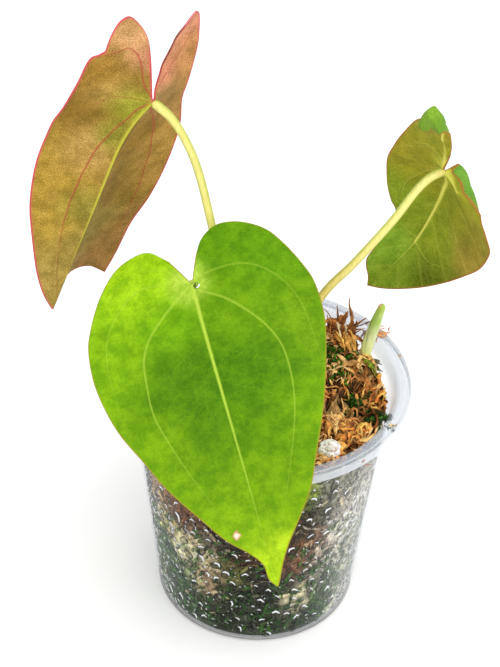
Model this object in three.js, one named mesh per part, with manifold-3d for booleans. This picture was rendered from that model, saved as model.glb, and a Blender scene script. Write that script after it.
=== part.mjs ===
// A young velvet-leaved anthurium in a clear plastic pot of sphagnum moss.
// Millimetres, +Z up. The origin is the middle of the pot's flat base, and the front is towards -Y.
import * as THREE from 'three';
import { mergeVertices } from 'three/addons/utils/BufferGeometryUtils.js';
import loadManifold from 'manifold-3d';

const wasm = await loadManifold();
wasm.setup();

// Clearance between pieces that touch
const seat = 0.3;
// Shorter edges, which joining leaves where surfaces cross, are closed up
const shortestEdge = 0.1;

// Driving dimensions of the pot
const pot = {
  height: 106,
  baseRadius: 40.5,
  neckRadius: 51,
  neckHeight: 98.5,
  rimRadius: 58.5,
  skirt: 3.8,
  flangeInner: 54.6,
  bead: 0.5,
  wall: 0.8,
  floor: 1.2,
  sides: 40,
  drainHoles: 6,
  drainHoleRadius: 2.5,
  drainRing: 24,
};

// The moss filling: its level, the heap at the back right and the strands on it
const filling = {
  level: 97,
  heap: { x: 37, y: 25, height: 6.5, spread: 15 },
  relief: 1.3,
  rings: 7,
  strands: 46,
  strandRadius: 1.1,
  strandLength: [13, 25],
  seed: 41,
};

// Dark shards that stand out of the heap, each from its foot to its point
const shards = [
  { foot: [33, 31, 98], point: [34.6, 30, 124.5], radius: 2.1 },
  { foot: [34.5, 29, 99], point: [41, 28.5, 116], radius: 1.9 },
  { foot: [30, 30, 97], point: [32, 27, 121.5], radius: 1.7 },
  { foot: [28, 25, 97], point: [26.5, 27.5, 112], radius: 1.5 },
];

// Green tufts and white lumps lie in dimples of their own
const tufts = [
  { x: 31, y: 20, radius: 4 },
  { x: 37.5, y: -5, radius: 4.2 },
  { x: 43.8, y: -14, radius: 3 },
  { x: -31, y: 22, radius: 4 },
];
const lumps = [
  { x: 26.6, y: -33.5, radius: 4.6 },
  { x: -12, y: 36, radius: 3.6 },
  { x: -38, y: -9, radius: 3.2 },
];

// The short stem that carries the leaves, with its roots
const crown = { radius: 6.4, top: 99.5, bottom: 74, shoulder: 3, sides: 18 };
const rootRadius = 1.5;
const roots = [
  [[2.5, 0.5, 77], [9, 2, 66], [16, 5, 48], [25, 9, 26], [24, 12, 12]],
  [[-2.2, 1.4, 77], [-8, 7, 63], [-12, 16, 42], [-18, 22, 22], [-22, 20, 9]],
  [[-1, -2.4, 77], [-4, -9, 67], [-3, -18, 52], [-7, -28, 36], [-14, -31, 20]],
  [[0.6, 2.5, 77], [1, 8, 62], [4, 14, 44], [2, 21, 28], [8, 28, 11]],
];

// The new shoot at the back right, a rolled leaf with a round tip
const shoot = { foot: [39.6, 24.4, 92], tip: [46.6, 24, 126], radius: 2.1, tipRadius: 1.4, sides: 12 };

// Petioles, from the crown to the back of their blades
const petiole = { radius: 1.65, sides: 8, stepLength: 9, overshoot: 0.6 };

const bladeThickness = 0.8;
// The droop of a spoke changes at this distance from the attachment
const nearLength = 35;

// Blades. Each half's outline runs from the sinus to the tip, as [out from the midrib, along it],
// flat, before the blade is folded and bent. Angles are in degrees, droops in degrees per millimetre.
const leafShapes = {
  leaf_front: {
    attach: [-27.5, -5, 155.5],
    tipward: [0.26, -0.88, -0.39],
    upward: [-0.21, -0.44, 0.87],
    droopNear: 0.23,
    droopFar: 0.18,
    sweepNear: -0.02,
    sweepFar: 0.02,
    left: {
      fold: 2, lift: 1, droopSide: 0.25, droopLobe: 0.1, corners: [],
      outline: [[4, -10.5], [8, -17], [14, -20.5], [20.5, -20], [27, -17], [32.5, -12.5], [37, -5.5],
        [41.5, 4.5], [44, 13], [44, 27.5], [41, 40.5], [34.5, 60], [26.5, 77.5], [22, 87], [15.5, 96],
        [8.5, 104.5], [5, 109.5], [1.5, 116], [0, 118.5]],
    },
    right: {
      fold: 5, lift: -4, droopSide: 0.12, droopLobe: 0.4, corners: [],
      outline: [[6.5, -12.5], [14.5, -20], [25.5, -17], [34, -7], [41.5, 8], [43.5, 14], [44.5, 27],
        [43, 38.5], [40, 49.5], [34.5, 61.5], [29, 73.5], [20, 88], [13.5, 97.5], [6.5, 104.5], [3, 109.5],
        [2.5, 115], [0, 118.5]],
    },
    steps: 5,
    crowding: 1,
    petiole: [[0, -3.3, 86], [-1.6, -3.2, 98], [-9, -1, 118], [-18, 2, 136], [-25, 0, 148]],
  },
  leaf_left: {
    attach: [-43.5, 26.5, 214.5],
    tipward: [-0.56, 0.31, -0.77],
    upward: [-0.40, 0.72, 0.57],
    droopNear: 0.67,
    droopFar: -0.04,
    sweepNear: 0.06,
    sweepFar: 0.04,
    left: {
      fold: 38, lift: 4, droopSide: 1.08, droopLobe: -0.2, corners: [7, 8],
      outline: [[6, -8.4], [11.5, -16], [18.5, -24], [24.5, -27.5], [29.5, -28.5], [31, -25.5], [30.5, -20],
        [28.5, -13], [30, -11], [32, -9.5], [31, 2], [28.5, 17.5], [28.5, 25], [27.5, 32.5], [26.5, 45],
        [23.5, 63.5], [20.5, 74], [11.5, 98.5], [5, 110], [0, 115.5]],
    },
    right: {
      fold: 38, lift: 32, droopSide: 1.55, droopLobe: 0.82, corners: [11, 15],
      outline: [[9, -14.5], [16.5, -26], [20, -31.5], [27.5, -21], [27.5, -14.5], [25.5, 5], [31.5, 30.5],
        [32.5, 50.5], [31.5, 67], [29, 80], [28.5, 95.5], [27.5, 106], [24.5, 104], [20, 101], [14.5, 99.5],
        [7, 98.5], [1, 99], [3.5, 108], [2.5, 114.5], [0, 115.5]],
    },
    steps: 5,
    crowding: 1,
    petiole: [[-2.8, 1.8, 86], [-4.6, 3.2, 100], [-15.5, 13, 143.8], [-21, 20, 164.3], [-26.5, 23.5, 186.7],
      [-31, 25, 198.3], [-36.7, 26.2, 207.8]],
  },
  leaf_right: {
    attach: [65, 21, 192],
    tipward: [0.26, 0.54, -0.80],
    upward: [0.90, 0.17, 0.41],
    droopNear: 1.09,
    droopFar: 0.55,
    sweepNear: 0.24,
    sweepFar: -0.08,
    left: {
      fold: -33, lift: 12, droopSide: 0.82, droopLobe: 0, corners: [],
      outline: [[-3.2, -12], [-4.2, -20], [-4, -27], [-3.5, -34], [-2.5, -42], [0, -48], [4, -47], [7.5, -42],
        [8, -36], [7.5, -30], [8.5, -27.5], [11, -25], [14, -20], [18, -11], [22, -2], [26, 7], [28, 18],
        [28, 26], [26, 32], [22, 37], [20, 48], [18, 61], [16, 67], [11, 72], [4, 77], [0, 81]],
      // The lobe's end rolls over into a hood: [bearing, distance where the roll starts]
      roll: {
        radius: 2.3,
        starts: [[0, 200], [150, 40], [158, 30], [163, 28], [167, 29], [172, 35], [177, 40], [182, 37],
          [187, 28], [200, 27]],
      },
    },
    right: {
      fold: 11, lift: 38, droopSide: 0.23, droopLobe: 0.25, corners: [],
      outline: [[6, -11], [10.5, -12], [15, -9], [20.5, -4], [25, 3], [29, 7], [32, 12], [31, 21], [29, 30],
        [25, 40], [21, 50], [16, 61], [10, 71], [5, 77], [0, 81]],
      roll: { radius: 2.2, starts: [[0, 200], [78, 60], [90, 21], [110, 13], [150, 7], [180, 6]] },
    },
    steps: 8,
    crowding: 1.6,
    petiole: [[3.1, 1.9, 86], [5, 2.6, 98], [21.5, 10, 139.4], [33.7, 12, 155], [47.3, 14, 174.1],
      [55.3, 16, 186.7], [59.6, 18, 190.6]],
  },
};

const colours = {
  pot: 0xdfe6ee,
  sphagnum: 0xa8713a,
  moss: 0x4c7a22,
  perlite: 0xf1efe8,
  crown: 0x6f6a3a,
  leafFront: 0x7fb81f,
  leafLeft: 0x6e5a34,
  leafRight: 0x7d8436,
  shoot: 0xb8cf72,
};

// The same numbers in the same order each run, from 0 to 1
function seededRandom(seed) {
  let state = seed;
  return () => {
    state = (state * 1664525 + 1013904223) % 4294967296;
    return state / 4294967296;
  };
}

function smooth(t) {
  const c = THREE.MathUtils.clamp(t, 0, 1);
  return c * c * (3 - 2 * c);
}

// Straight lines through [bearing, value] stations
function interpolate(stations, bearing) {
  const next = stations.findIndex(([b]) => b >= bearing);
  if (next < 0) return stations[stations.length - 1][1];
  if (next === 0) return stations[0][1];
  const [b0, v0] = stations[next - 1];
  const [b1, v1] = stations[next];
  return v0 + ((v1 - v0) * (bearing - b0)) / (b1 - b0);
}

// Solids and cuts
function solid(geometry) {
  const bare = geometry.clone();
  bare.deleteAttribute('normal');
  bare.deleteAttribute('uv');
  const merged = mergeVertices(bare);
  return new wasm.Manifold(new wasm.Mesh({
    numProp: 3,
    vertProperties: new Float32Array(merged.attributes.position.array),
    triVerts: new Uint32Array(merged.index.array),
  }));
}

function geometryOf(body) {
  const mesh = body.getMesh();
  const geometry = new THREE.BufferGeometry();
  geometry.setAttribute('position', new THREE.BufferAttribute(new Float32Array(mesh.vertProperties), 3));
  geometry.setIndex(new THREE.BufferAttribute(new Uint32Array(mesh.triVerts), 1));
  geometry.computeVertexNormals();
  return geometry;
}

function join(bodies) {
  return bodies.reduce((whole, body) => whole.add(body));
}

// The main body, without loose scraps and slivers, and with hollows that joining sealed filled
function mainBody(body) {
  const pieces = body.simplify(shortestEdge).decompose();
  return pieces.reduce((main, piece) => (piece.volume() > main.volume() ? piece : main));
}

// Turned about +Z, from [radius, height] pairs that start and end on the axis
function turned(profile, sides) {
  const points = profile.map(([r, z]) => new THREE.Vector2(r, z));
  return new THREE.LatheGeometry(points, sides).rotateX(Math.PI / 2);
}

// Moves a shape that stands on the origin along +Z so that it stands on foot and leans to point
function standing(geometry, foot, point) {
  const lean = new THREE.Vector3().subVectors(point, foot).normalize();
  const turn = new THREE.Quaternion().setFromUnitVectors(new THREE.Vector3(0, 0, 1), lean);
  return geometry.applyQuaternion(turn).translate(foot.x, foot.y, foot.z);
}

function tube(points, radius, sides, steps) {
  const section = new THREE.Shape();
  for (let k = 0; k < sides; k += 1) {
    const angle = (2 * Math.PI * k) / sides;
    section[k === 0 ? 'moveTo' : 'lineTo'](radius * Math.cos(angle), radius * Math.sin(angle));
  }
  section.closePath();
  const path = new THREE.CatmullRomCurve3(points.map((p) => new THREE.Vector3(...p)), false, 'centripetal');
  return new THREE.ExtrudeGeometry(section, { steps, extrudePath: path });
}

// A route whose last point is moved on along it
function lengthened(points, extra) {
  const [before, last] = points.slice(-2).map((p) => new THREE.Vector3(...p));
  const end = last.clone().addScaledVector(last.clone().sub(before).normalize(), extra);
  return [...points.slice(0, -1), end.toArray()];
}

// The pot

// Radius of the pot's inner wall at a height
function innerRadius(z) {
  const slope = (pot.neckRadius - pot.baseRadius) / pot.neckHeight;
  const tapered = pot.baseRadius - pot.wall + slope * z;
  const flare = (pot.flangeInner - pot.neckRadius - 1) / (pot.height - pot.neckHeight);
  return tapered + Math.max(0, z - pot.neckHeight) * (flare - slope);
}

function makePot() {
  const { height: h, bead, wall, rimRadius: rim, flangeInner: lip } = pot;
  const heel = 1.4;
  const outside = [
    [0, 0],
    [pot.baseRadius - heel, 0],
    [pot.baseRadius, heel],
    [pot.neckRadius, pot.neckHeight],
    [lip - bead, h - wall - bead],
    [rim - wall, h - wall - bead],
    [rim - wall, h - pot.skirt],
    [rim, h - pot.skirt],
  ];
  const flange = [
    [rim, h - bead],
    [rim - bead, h],
    [rim - 2 * bead - wall, h - bead],
    [lip + bead, h - bead],
    [lip, h + bead],
    [lip - wall, h + bead],
  ];
  const inside = [
    [innerRadius(h - bead), h - bead],
    [innerRadius(pot.neckHeight), pot.neckHeight],
    [innerRadius(pot.floor), pot.floor],
    [0, pot.floor],
  ];
  let body = solid(turned([...outside, ...flange, ...inside], pot.sides));
  for (let k = 0; k < pot.drainHoles; k += 1) {
    const angle = (2 * Math.PI * (k + 0.5)) / pot.drainHoles;
    const drill = new THREE.CylinderGeometry(pot.drainHoleRadius, pot.drainHoleRadius, 6, 16).rotateX(Math.PI / 2);
    drill.translate(pot.drainRing * Math.cos(angle), pot.drainRing * Math.sin(angle), 0);
    body = body.subtract(solid(drill));
  }
  return geometryOf(body);
}

// The filling of sphagnum

function fillingHeight(x, y) {
  const { level, heap, relief } = filling;
  const away = ((x - heap.x) ** 2 + (y - heap.y) ** 2) / heap.spread ** 2;
  const rough = Math.sin(0.21 * x + 1.7) * Math.cos(0.19 * y - 0.6) + 0.7 * Math.sin(0.43 * x - 0.37 * y + 2.1)
    + 0.5 * Math.cos(0.71 * y + 0.5 * x);
  return level + heap.height * Math.exp(-away) + relief * rough;
}

function makeCore() {
  const edge = innerRadius(filling.level) - seat;
  const floor = pot.floor + seat;
  const profile = [[0, floor], [innerRadius(floor) - seat, floor], [edge, filling.level]];
  for (let k = 1; k <= filling.rings; k += 1) {
    profile.push([edge * (1 - k / filling.rings), filling.level]);
  }
  const core = turned(profile, pot.sides);
  const at = core.attributes.position;
  for (let i = 0; i < at.count; i += 1) {
    if (at.getZ(i) > filling.level - 1) {
      const shore = innerRadius(at.getZ(i)) - seat - Math.hypot(at.getX(i), at.getY(i));
      const share = smooth(shore / 6);
      at.setZ(i, filling.level + share * (fillingHeight(at.getX(i), at.getY(i)) - filling.level));
    }
  }
  return solid(core);
}

// Strands leave room for the tufts, the stem and the shoot
function inAClearing(x, y) {
  const stems = [{ x: 0, y: 0, radius: crown.radius }, { x: shoot.foot[0], y: shoot.foot[1], radius: shoot.radius }];
  return [...tufts, ...stems].some((spot) => Math.hypot(x - spot.x, y - spot.y) < spot.radius + 5);
}

// Strands arch out of the filling and dip back into it
function makeStrands() {
  const random = seededRandom(filling.seed);
  const [shortest, longest] = filling.strandLength;
  const strands = [];
  while (strands.length < filling.strands) {
    const angle = 2 * Math.PI * random();
    const from = (innerRadius(filling.level) - 5) * Math.sqrt(random());
    const heading = 2 * Math.PI * random();
    const length = shortest + (longest - shortest) * random();
    const rise = 0.6 + 1.8 * random();
    const bow = (random() - 0.5) * 0.5 * length;
    const stations = [[0, 0, -2.2], [0.3, 0.8, rise], [0.7, 0.8, rise * 0.8], [1, 0, -2.2]];
    const points = stations.map(([along, aside, up]) => {
      const x = from * Math.cos(angle) + along * length * Math.cos(heading) - aside * bow * Math.sin(heading);
      const y = from * Math.sin(angle) + along * length * Math.sin(heading) + aside * bow * Math.cos(heading);
      return [x, y, fillingHeight(x, y) + up];
    });
    const inside = points.every(([x, y]) => Math.hypot(x, y) < innerRadius(filling.level) - 2);
    if (inside && !points.some(([x, y]) => inAClearing(x, y))) {
      strands.push(solid(tube(points, filling.strandRadius, 3, 3)));
    }
  }
  return join(strands);
}

function makeShards() {
  return join(shards.map(({ foot, point, radius }) => {
    const from = new THREE.Vector3(...foot);
    const to = new THREE.Vector3(...point);
    const length = from.distanceTo(to);
    const cone = new THREE.ConeGeometry(radius, length, 4).rotateX(Math.PI / 2).translate(0, 0, length / 2);
    return solid(standing(cone, from, to));
  }));
}

// Everything inside the pot's wall, up to well above the rim
function insideOfPot() {
  const above = pot.height + 30;
  const edge = innerRadius(pot.neckHeight) - seat;
  return solid(turned([[0, 0], [innerRadius(0) - seat, 0], [edge, pot.neckHeight], [edge, above], [0, above]], pot.sides));
}

// Tufts, lumps, the crown with its roots, and the shoot. A clearance makes each one's own hole.

function tuftBase(tuft, clearance = 0) {
  const radius = tuft.radius * 0.75 + clearance;
  const ground = fillingHeight(tuft.x, tuft.y);
  const profile = [[0, -4 - clearance], [radius * 0.7, -4 - clearance], [radius, -1], [radius, 1], [radius * 0.6, 2.4],
    [0, 3]];
  return turned(profile, 8).translate(tuft.x, tuft.y, ground);
}

function makeTuft(tuft, index) {
  const random = seededRandom(filling.seed + 10 + index);
  const centre = new THREE.Vector3(tuft.x, tuft.y, fillingHeight(tuft.x, tuft.y) + 0.6);
  const leaflets = [];
  const count = Math.round(tuft.radius * 4);
  for (let k = 0; k < count; k += 1) {
    const turn = k * 2.4;
    const lift = 0.5 + 0.95 * ((k + 0.5) / count) + 0.15 * random();
    const reach = tuft.radius * (1.35 + 0.35 * random());
    const away = new THREE.Vector3(Math.cos(turn) * Math.cos(lift), Math.sin(turn) * Math.cos(lift), Math.sin(lift));
    const leaflet = new THREE.ConeGeometry(0.9, reach, 3).rotateX(Math.PI / 2).translate(0, 0, reach / 2);
    leaflets.push(solid(standing(leaflet, centre, centre.clone().addScaledVector(away, reach))));
  }
  return geometryOf(mainBody(join([solid(tuftBase(tuft)), ...leaflets])));
}

function makeLump(lump, clearance = 0) {
  const stone = new THREE.IcosahedronGeometry(1, 1);
  const at = stone.attributes.position;
  for (let i = 0; i < at.count; i += 1) {
    const p = new THREE.Vector3().fromBufferAttribute(at, i);
    const dent = 0.85 + 0.12 * Math.sin(5 * p.x + lump.x) + 0.1 * Math.cos(4 * p.y - 3 * p.z + lump.y);
    p.multiplyScalar(lump.radius * dent + clearance);
    at.setXYZ(i, p.x, p.y, p.z * 0.8);
  }
  return stone.translate(lump.x, lump.y, fillingHeight(lump.x, lump.y) + lump.radius * 0.3);
}

function makeStem(clearance = 0) {
  const { radius, top, bottom, shoulder } = crown;
  const r = radius + clearance;
  const low = bottom - clearance;
  const high = top + 8 * clearance;
  const profile = [[0, low], [r * 0.6, low], [r * 0.9, low + 4], [r, high - shoulder], [r * 0.8, high - 1], [0, high]];
  const rootTubes = roots.map((points) => solid(tube(lengthened(points, clearance), rootRadius + clearance, 6, 7)));
  return join([solid(turned(profile, crown.sides)), ...rootTubes]);
}

function petiolePath(shape, end) {
  return new THREE.CatmullRomCurve3([...shape.petiole, end].map((p) => new THREE.Vector3(...p)), false, 'centripetal');
}

function petioleTube(shape, clearance = 0) {
  const points = lengthened([...shape.petiole, shape.attach], petiole.overshoot);
  const steps = Math.round(petiolePath(shape, shape.attach).getLength() / petiole.stepLength);
  return tube(points, petiole.radius + clearance, petiole.sides, steps);
}

function makeCrown() {
  const below = seat * 2;
  return Object.values(leafShapes).reduce((body, shape) => {
    const foot = new THREE.Vector3(...shape.petiole[0]);
    const neck = new THREE.Vector3(...shape.petiole[1]);
    const length = foot.distanceTo(neck) + 8;
    const radius = petiole.radius + 2 * seat;
    const socket = new THREE.CylinderGeometry(radius, radius, length, 12).rotateX(Math.PI / 2);
    socket.translate(0, 0, length / 2 - below);
    return body.subtract(solid(standing(socket, foot, neck)));
  }, makeStem());
}

function makeShoot(clearance = 0) {
  const foot = new THREE.Vector3(...shoot.foot);
  const tip = new THREE.Vector3(...shoot.tip);
  const length = foot.distanceTo(tip);
  const base = shoot.radius + clearance;
  const end = shoot.tipRadius + clearance;
  const profile = [[0, -clearance], [base * 0.9, -clearance], [base, 3], [base, length * 0.55], [end, length - end * 1.2],
    [end * 0.7, length - end * 0.3], [0, length + clearance]];
  return standing(turned(profile, shoot.sides), foot, tip);
}

function makeSphagnum() {
  const clearance = seat * 1.2;
  const holes = [
    makeStem(clearance),
    solid(makeShoot(clearance)),
    ...tufts.map((tuft) => solid(tuftBase(tuft, clearance))),
    ...lumps.map((lump) => solid(makeLump(lump, clearance))),
    ...Object.values(leafShapes).map((shape) => solid(petioleTube(shape, clearance))),
  ];
  const heap = join([makeCore(), makeStrands(), makeShards()]);
  return geometryOf(mainBody(holes.reduce((body, hole) => body.subtract(hole), heap.intersect(insideOfPot()))));
}

// Blades

// A flat point of one half, carried to its place. A spoke from the attachment through the point
// leaves at the half's fold, then bends down by the droops, rises by the lift behind, and rolls.
function bladePoint(shape, half, side, out, along) {
  const distance = Math.hypot(out, along);
  let bearing = THREE.MathUtils.radToDeg(Math.atan2(out, along));
  if (bearing < -90) bearing += 360;
  const behind = smooth((bearing - 80) / 70);
  const abreast = smooth(bearing / 80);
  const droop = (tip) => {
    const beside = tip + (half.droopSide - tip) * abreast;
    return bearing < 80 ? beside : half.droopSide + (half.droopLobe - half.droopSide) * behind;
  };
  const near = droop(shape.droopNear);
  const far = droop(shape.droopFar);
  const lift = half.lift * smooth((bearing - 70) / 80);
  const rollStart = half.roll ? interpolate(half.roll.starts, bearing) : Infinity;
  const rad = THREE.MathUtils.degToRad;
  const parts = half.roll ? 40 : 14;
  const sum = new THREE.Vector3();
  for (let k = 0; k < parts; k += 1) {
    const reach = (distance * (k + 0.5)) / parts;
    const nearPart = Math.min(reach, nearLength);
    const farPart = reach - nearPart;
    let rise = rad(lift - near * nearPart - far * farPart);
    if (reach > rollStart) rise -= Math.min((reach - rollStart) / half.roll.radius, 3.3);
    const sweep = rad(shape.sweepNear * nearPart + shape.sweepFar * farPart) * smooth((130 - bearing) / 60);
    sum.x += Math.cos(rise) * Math.cos(sweep);
    sum.y += Math.cos(rise) * Math.sin(sweep);
    sum.z += Math.sin(rise);
  }
  sum.multiplyScalar(distance / parts);
  const fold = rad(half.fold);
  const angle = rad(bearing);
  const spoke = new THREE.Vector3(Math.sin(angle) * side * Math.cos(fold), Math.cos(angle), Math.sin(angle) * Math.sin(fold));
  const tilt = smooth(bearing / 50);
  const face = new THREE.Vector3(-side * Math.sin(fold) * tilt, 0, 1 - tilt + tilt * Math.cos(fold));
  face.addScaledVector(spoke, -face.dot(spoke)).normalize();
  const across = new THREE.Vector3().crossVectors(spoke, face);
  const local = spoke.multiplyScalar(sum.x).addScaledVector(across, sum.y).addScaledVector(face, sum.z);
  return placed(shape, local).add(new THREE.Vector3(...shape.attach));
}

// From the blade's own axes, across, tipward and upward, to the plant's
function placed(shape, local) {
  const tipward = new THREE.Vector3(...shape.tipward).normalize();
  const upward = new THREE.Vector3(...shape.upward);
  upward.addScaledVector(tipward, -upward.dot(tipward)).normalize();
  const across = new THREE.Vector3().crossVectors(tipward, upward);
  return across.multiplyScalar(local.x).addScaledVector(tipward, local.y).addScaledVector(upward, local.z);
}

function bladeNormal(shape, half, side, out, along) {
  const nudge = 0.3;
  const dOut = bladePoint(shape, half, side, out + nudge, along)
    .sub(bladePoint(shape, half, side, out - nudge, along));
  const dAlong = bladePoint(shape, half, side, out, along + nudge)
    .sub(bladePoint(shape, half, side, out, along - nudge));
  return dOut.cross(dAlong).multiplyScalar(side).normalize();
}

// The half's outline as a fine line: smooth between its corners
function fineOutline(half, perSpan = 8) {
  const breaks = [0, ...half.corners, half.outline.length - 1];
  const line = [];
  for (let k = 0; k + 1 < breaks.length; k += 1) {
    const run = half.outline.slice(breaks[k], breaks[k + 1] + 1).map(([out, along]) => new THREE.Vector3(out, along, 0));
    const curve = new THREE.CatmullRomCurve3(run, false, 'centripetal');
    const spans = (run.length - 1) * perSpan;
    for (let i = 0; i < spans; i += 1) line.push(curve.getPoint(i / spans));
  }
  const tip = half.outline[half.outline.length - 1];
  line.push(new THREE.Vector3(tip[0], tip[1], 0));
  return line;
}

// Side ribs leave the midrib at 45 degrees. This is where the rib through a point leaves it.
function ribFoot(point) {
  return point.y - point.x;
}

// Where a rib of the half from a height on the midrib meets the outline, searched from the tip
function ribEnd(line, foot) {
  for (let i = line.length - 1; i > 0; i -= 1) {
    const above = ribFoot(line[i]);
    const below = ribFoot(line[i - 1]);
    if (below <= foot && foot <= above) {
      return line[i - 1].clone().lerp(line[i], (foot - below) / Math.max(above - below, 1e-6));
    }
  }
  return line[0].clone();
}

// The feet of the ribs that both halves share, at least a step apart
function sharedFeet(shape) {
  const step = 1.4;
  const tip = shape.left.outline[shape.left.outline.length - 1][1];
  const feet = [...shape.left.outline, ...shape.right.outline]
    .map(([out, along]) => along - out)
    .filter((foot) => foot > step && foot < tip - step)
    .sort((a, b) => a - b);
  return feet.filter((foot, i) => i === 0 || foot - feet[i - 1] > step * 0.5).concat([tip]);
}

// The ribs of one half: fanned from the attachment behind, then along the midrib to the tip
function ribs(shape, half) {
  const line = fineOutline(half);
  const turn = ribEnd(line, 0);
  const fan = [];
  for (let i = 0; i < line.length && ribFoot(line[i]) < -1; i += 4) fan.push(line[i]);
  const behind = [...fan, turn].map((end) => ({ foot: 0, end }));
  return behind.concat(sharedFeet(shape).map((foot) => ({ foot, end: ribEnd(line, foot) })));
}

// One closed solid: both halves, top and bottom, and the edge strip round them
function makeBlade(shape) {
  const top = [];
  const bottom = [];
  const addPoint = (position, normal) => {
    top.push(position.clone().addScaledVector(normal, bladeThickness / 2));
    bottom.push(position.clone().addScaledVector(normal, -bladeThickness / 2));
    return top.length - 1;
  };
  const centre = addPoint(new THREE.Vector3(...shape.attach), placed(shape, new THREE.Vector3(0, 0, 1)));
  const feet = sharedFeet(shape);
  const midrib = feet.map((foot) => {
    const normal = bladeNormal(shape, shape.right, 1, 0, foot).add(bladeNormal(shape, shape.left, -1, 0, foot));
    return addPoint(bladePoint(shape, shape.right, 1, 0, foot), normal.normalize());
  });
  const faces = [];
  const edges = [];
  for (const [half, side] of [[shape.right, 1], [shape.left, -1]]) {
    const lines = ribs(shape, half);
    const behind = lines.length - feet.length;
    const grid = lines.map(({ foot, end }, i) => {
      const row = [i < behind ? centre : midrib[i - behind]];
      for (let j = 1; j <= shape.steps; j += 1) {
        if (i === lines.length - 1) {
          row.push(midrib[midrib.length - 1]);
        } else {
          const share = 1 - (1 - j / shape.steps) ** shape.crowding;
          const out = end.x * share;
          const along = foot + (end.y - foot) * share;
          row.push(addPoint(bladePoint(shape, half, side, out, along), bladeNormal(shape, half, side, out, along)));
        }
      }
      return row;
    });
    for (let i = 0; i + 1 < grid.length; i += 1) {
      for (let j = 0; j < shape.steps; j += 1) {
        const [a, b, c, d] = [grid[i][j], grid[i][j + 1], grid[i + 1][j + 1], grid[i + 1][j]];
        faces.push(side > 0 ? [a, b, c] : [a, c, b]);
        faces.push(side > 0 ? [a, c, d] : [a, d, c]);
      }
    }
    const edge = [...grid[0], ...grid.slice(1).map((row) => row[shape.steps])];
    for (let i = 0; i + 1 < edge.length; i += 1) {
      edges.push(side > 0 ? [edge[i], edge[i + 1]] : [edge[i + 1], edge[i]]);
    }
  }
  const count = top.length;
  const proper = faces.filter(([a, b, c]) => a !== b && b !== c && c !== a);
  const index = [];
  for (const [a, b, c] of proper) index.push(a, b, c, a + count, c + count, b + count);
  for (const [a, b] of edges.filter(([from, to]) => from !== to)) {
    index.push(b, a, a + count, b, a + count, b + count);
  }
  const geometry = new THREE.BufferGeometry().setFromPoints([...top, ...bottom]);
  geometry.setIndex(index);
  return geometry;
}

function makeLeaf(shape) {
  return geometryOf(mainBody(solid(makeBlade(shape)).add(solid(petioleTube(shape)))));
}

// The whole plant in its pot
const plant = new THREE.Group();

function addPiece(name, geometry, color, roughness, extra = {}) {
  const material = new THREE.MeshStandardMaterial({ color, roughness, metalness: 0, ...extra });
  const piece = new THREE.Mesh(geometry, material);
  piece.name = name;
  plant.add(piece);
}

addPiece('pot', makePot(), colours.pot, 0.15, { transparent: true, opacity: 0.35 });
addPiece('sphagnum', makeSphagnum(), colours.sphagnum, 0.95);
tufts.forEach((tuft, i) => addPiece(`moss_tuft_${i + 1}`, makeTuft(tuft, i), colours.moss, 0.8));
lumps.forEach((lump, i) => addPiece(`perlite_${i + 1}`, geometryOf(solid(makeLump(lump))), colours.perlite, 0.9));
addPiece('crown', geometryOf(makeCrown()), colours.crown, 0.8);
addPiece('leaf_front', makeLeaf(leafShapes.leaf_front), colours.leafFront, 0.6);
addPiece('leaf_left', makeLeaf(leafShapes.leaf_left), colours.leafLeft, 0.7);
addPiece('leaf_right', makeLeaf(leafShapes.leaf_right), colours.leafRight, 0.7);
addPiece('new_shoot', geometryOf(solid(makeShoot())), colours.shoot, 0.5);

export default plant;
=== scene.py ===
import functools
import math

import bmesh
import bpy
import numpy as np
from mathutils import Matrix, Vector


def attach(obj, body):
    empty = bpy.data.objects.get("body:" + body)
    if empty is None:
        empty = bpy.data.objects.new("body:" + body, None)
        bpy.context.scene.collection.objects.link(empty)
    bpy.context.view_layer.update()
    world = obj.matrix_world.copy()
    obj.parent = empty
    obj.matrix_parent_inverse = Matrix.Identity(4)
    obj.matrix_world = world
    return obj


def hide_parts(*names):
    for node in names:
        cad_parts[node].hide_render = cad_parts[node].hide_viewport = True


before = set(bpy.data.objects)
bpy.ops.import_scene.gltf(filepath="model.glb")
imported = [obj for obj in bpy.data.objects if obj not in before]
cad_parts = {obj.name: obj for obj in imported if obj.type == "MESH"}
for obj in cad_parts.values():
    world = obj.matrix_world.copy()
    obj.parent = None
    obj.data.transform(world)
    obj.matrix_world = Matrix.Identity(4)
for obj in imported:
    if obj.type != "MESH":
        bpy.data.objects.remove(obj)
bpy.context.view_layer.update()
scene = bpy.context.scene
scene.view_settings.view_transform = "Standard"

mm = 0.001  # a millimetre in metres

# Shared numbers of the pot and of the filling in it
potSizes = {"height": 106, "baseRadius": 40.5, "neckRadius": 51, "neckHeight": 98.5, "rimRadius": 58.5,
            "skirt": 3.8, "flangeInner": 54.6, "bead": 0.5, "wall": 0.8, "floor": 1.2, "heel": 1.4,
            "foot": 34.5, "hollow": 0.9, "drainHoles": 6, "drainHoleRadius": 2.5, "drainRing": 24,
            "sides": 176, "span": 6}
level = 97
heap = {"x": 37, "y": 25, "height": 6.5, "spread": 15}
wallRadius = 46  # half way up, where turns are made into lengths along the wall
goldenTurn = 2.4  # from one leaf to the next round a stem


# The camera and the room

cameraSettings = {"focal": 2000, "imageHeight": 667, "elevation": 38.75, "roll": 1.79, "distance": 814.48,
                  "aside": -3.34, "above": 61.28, "aim": 50}


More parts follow.
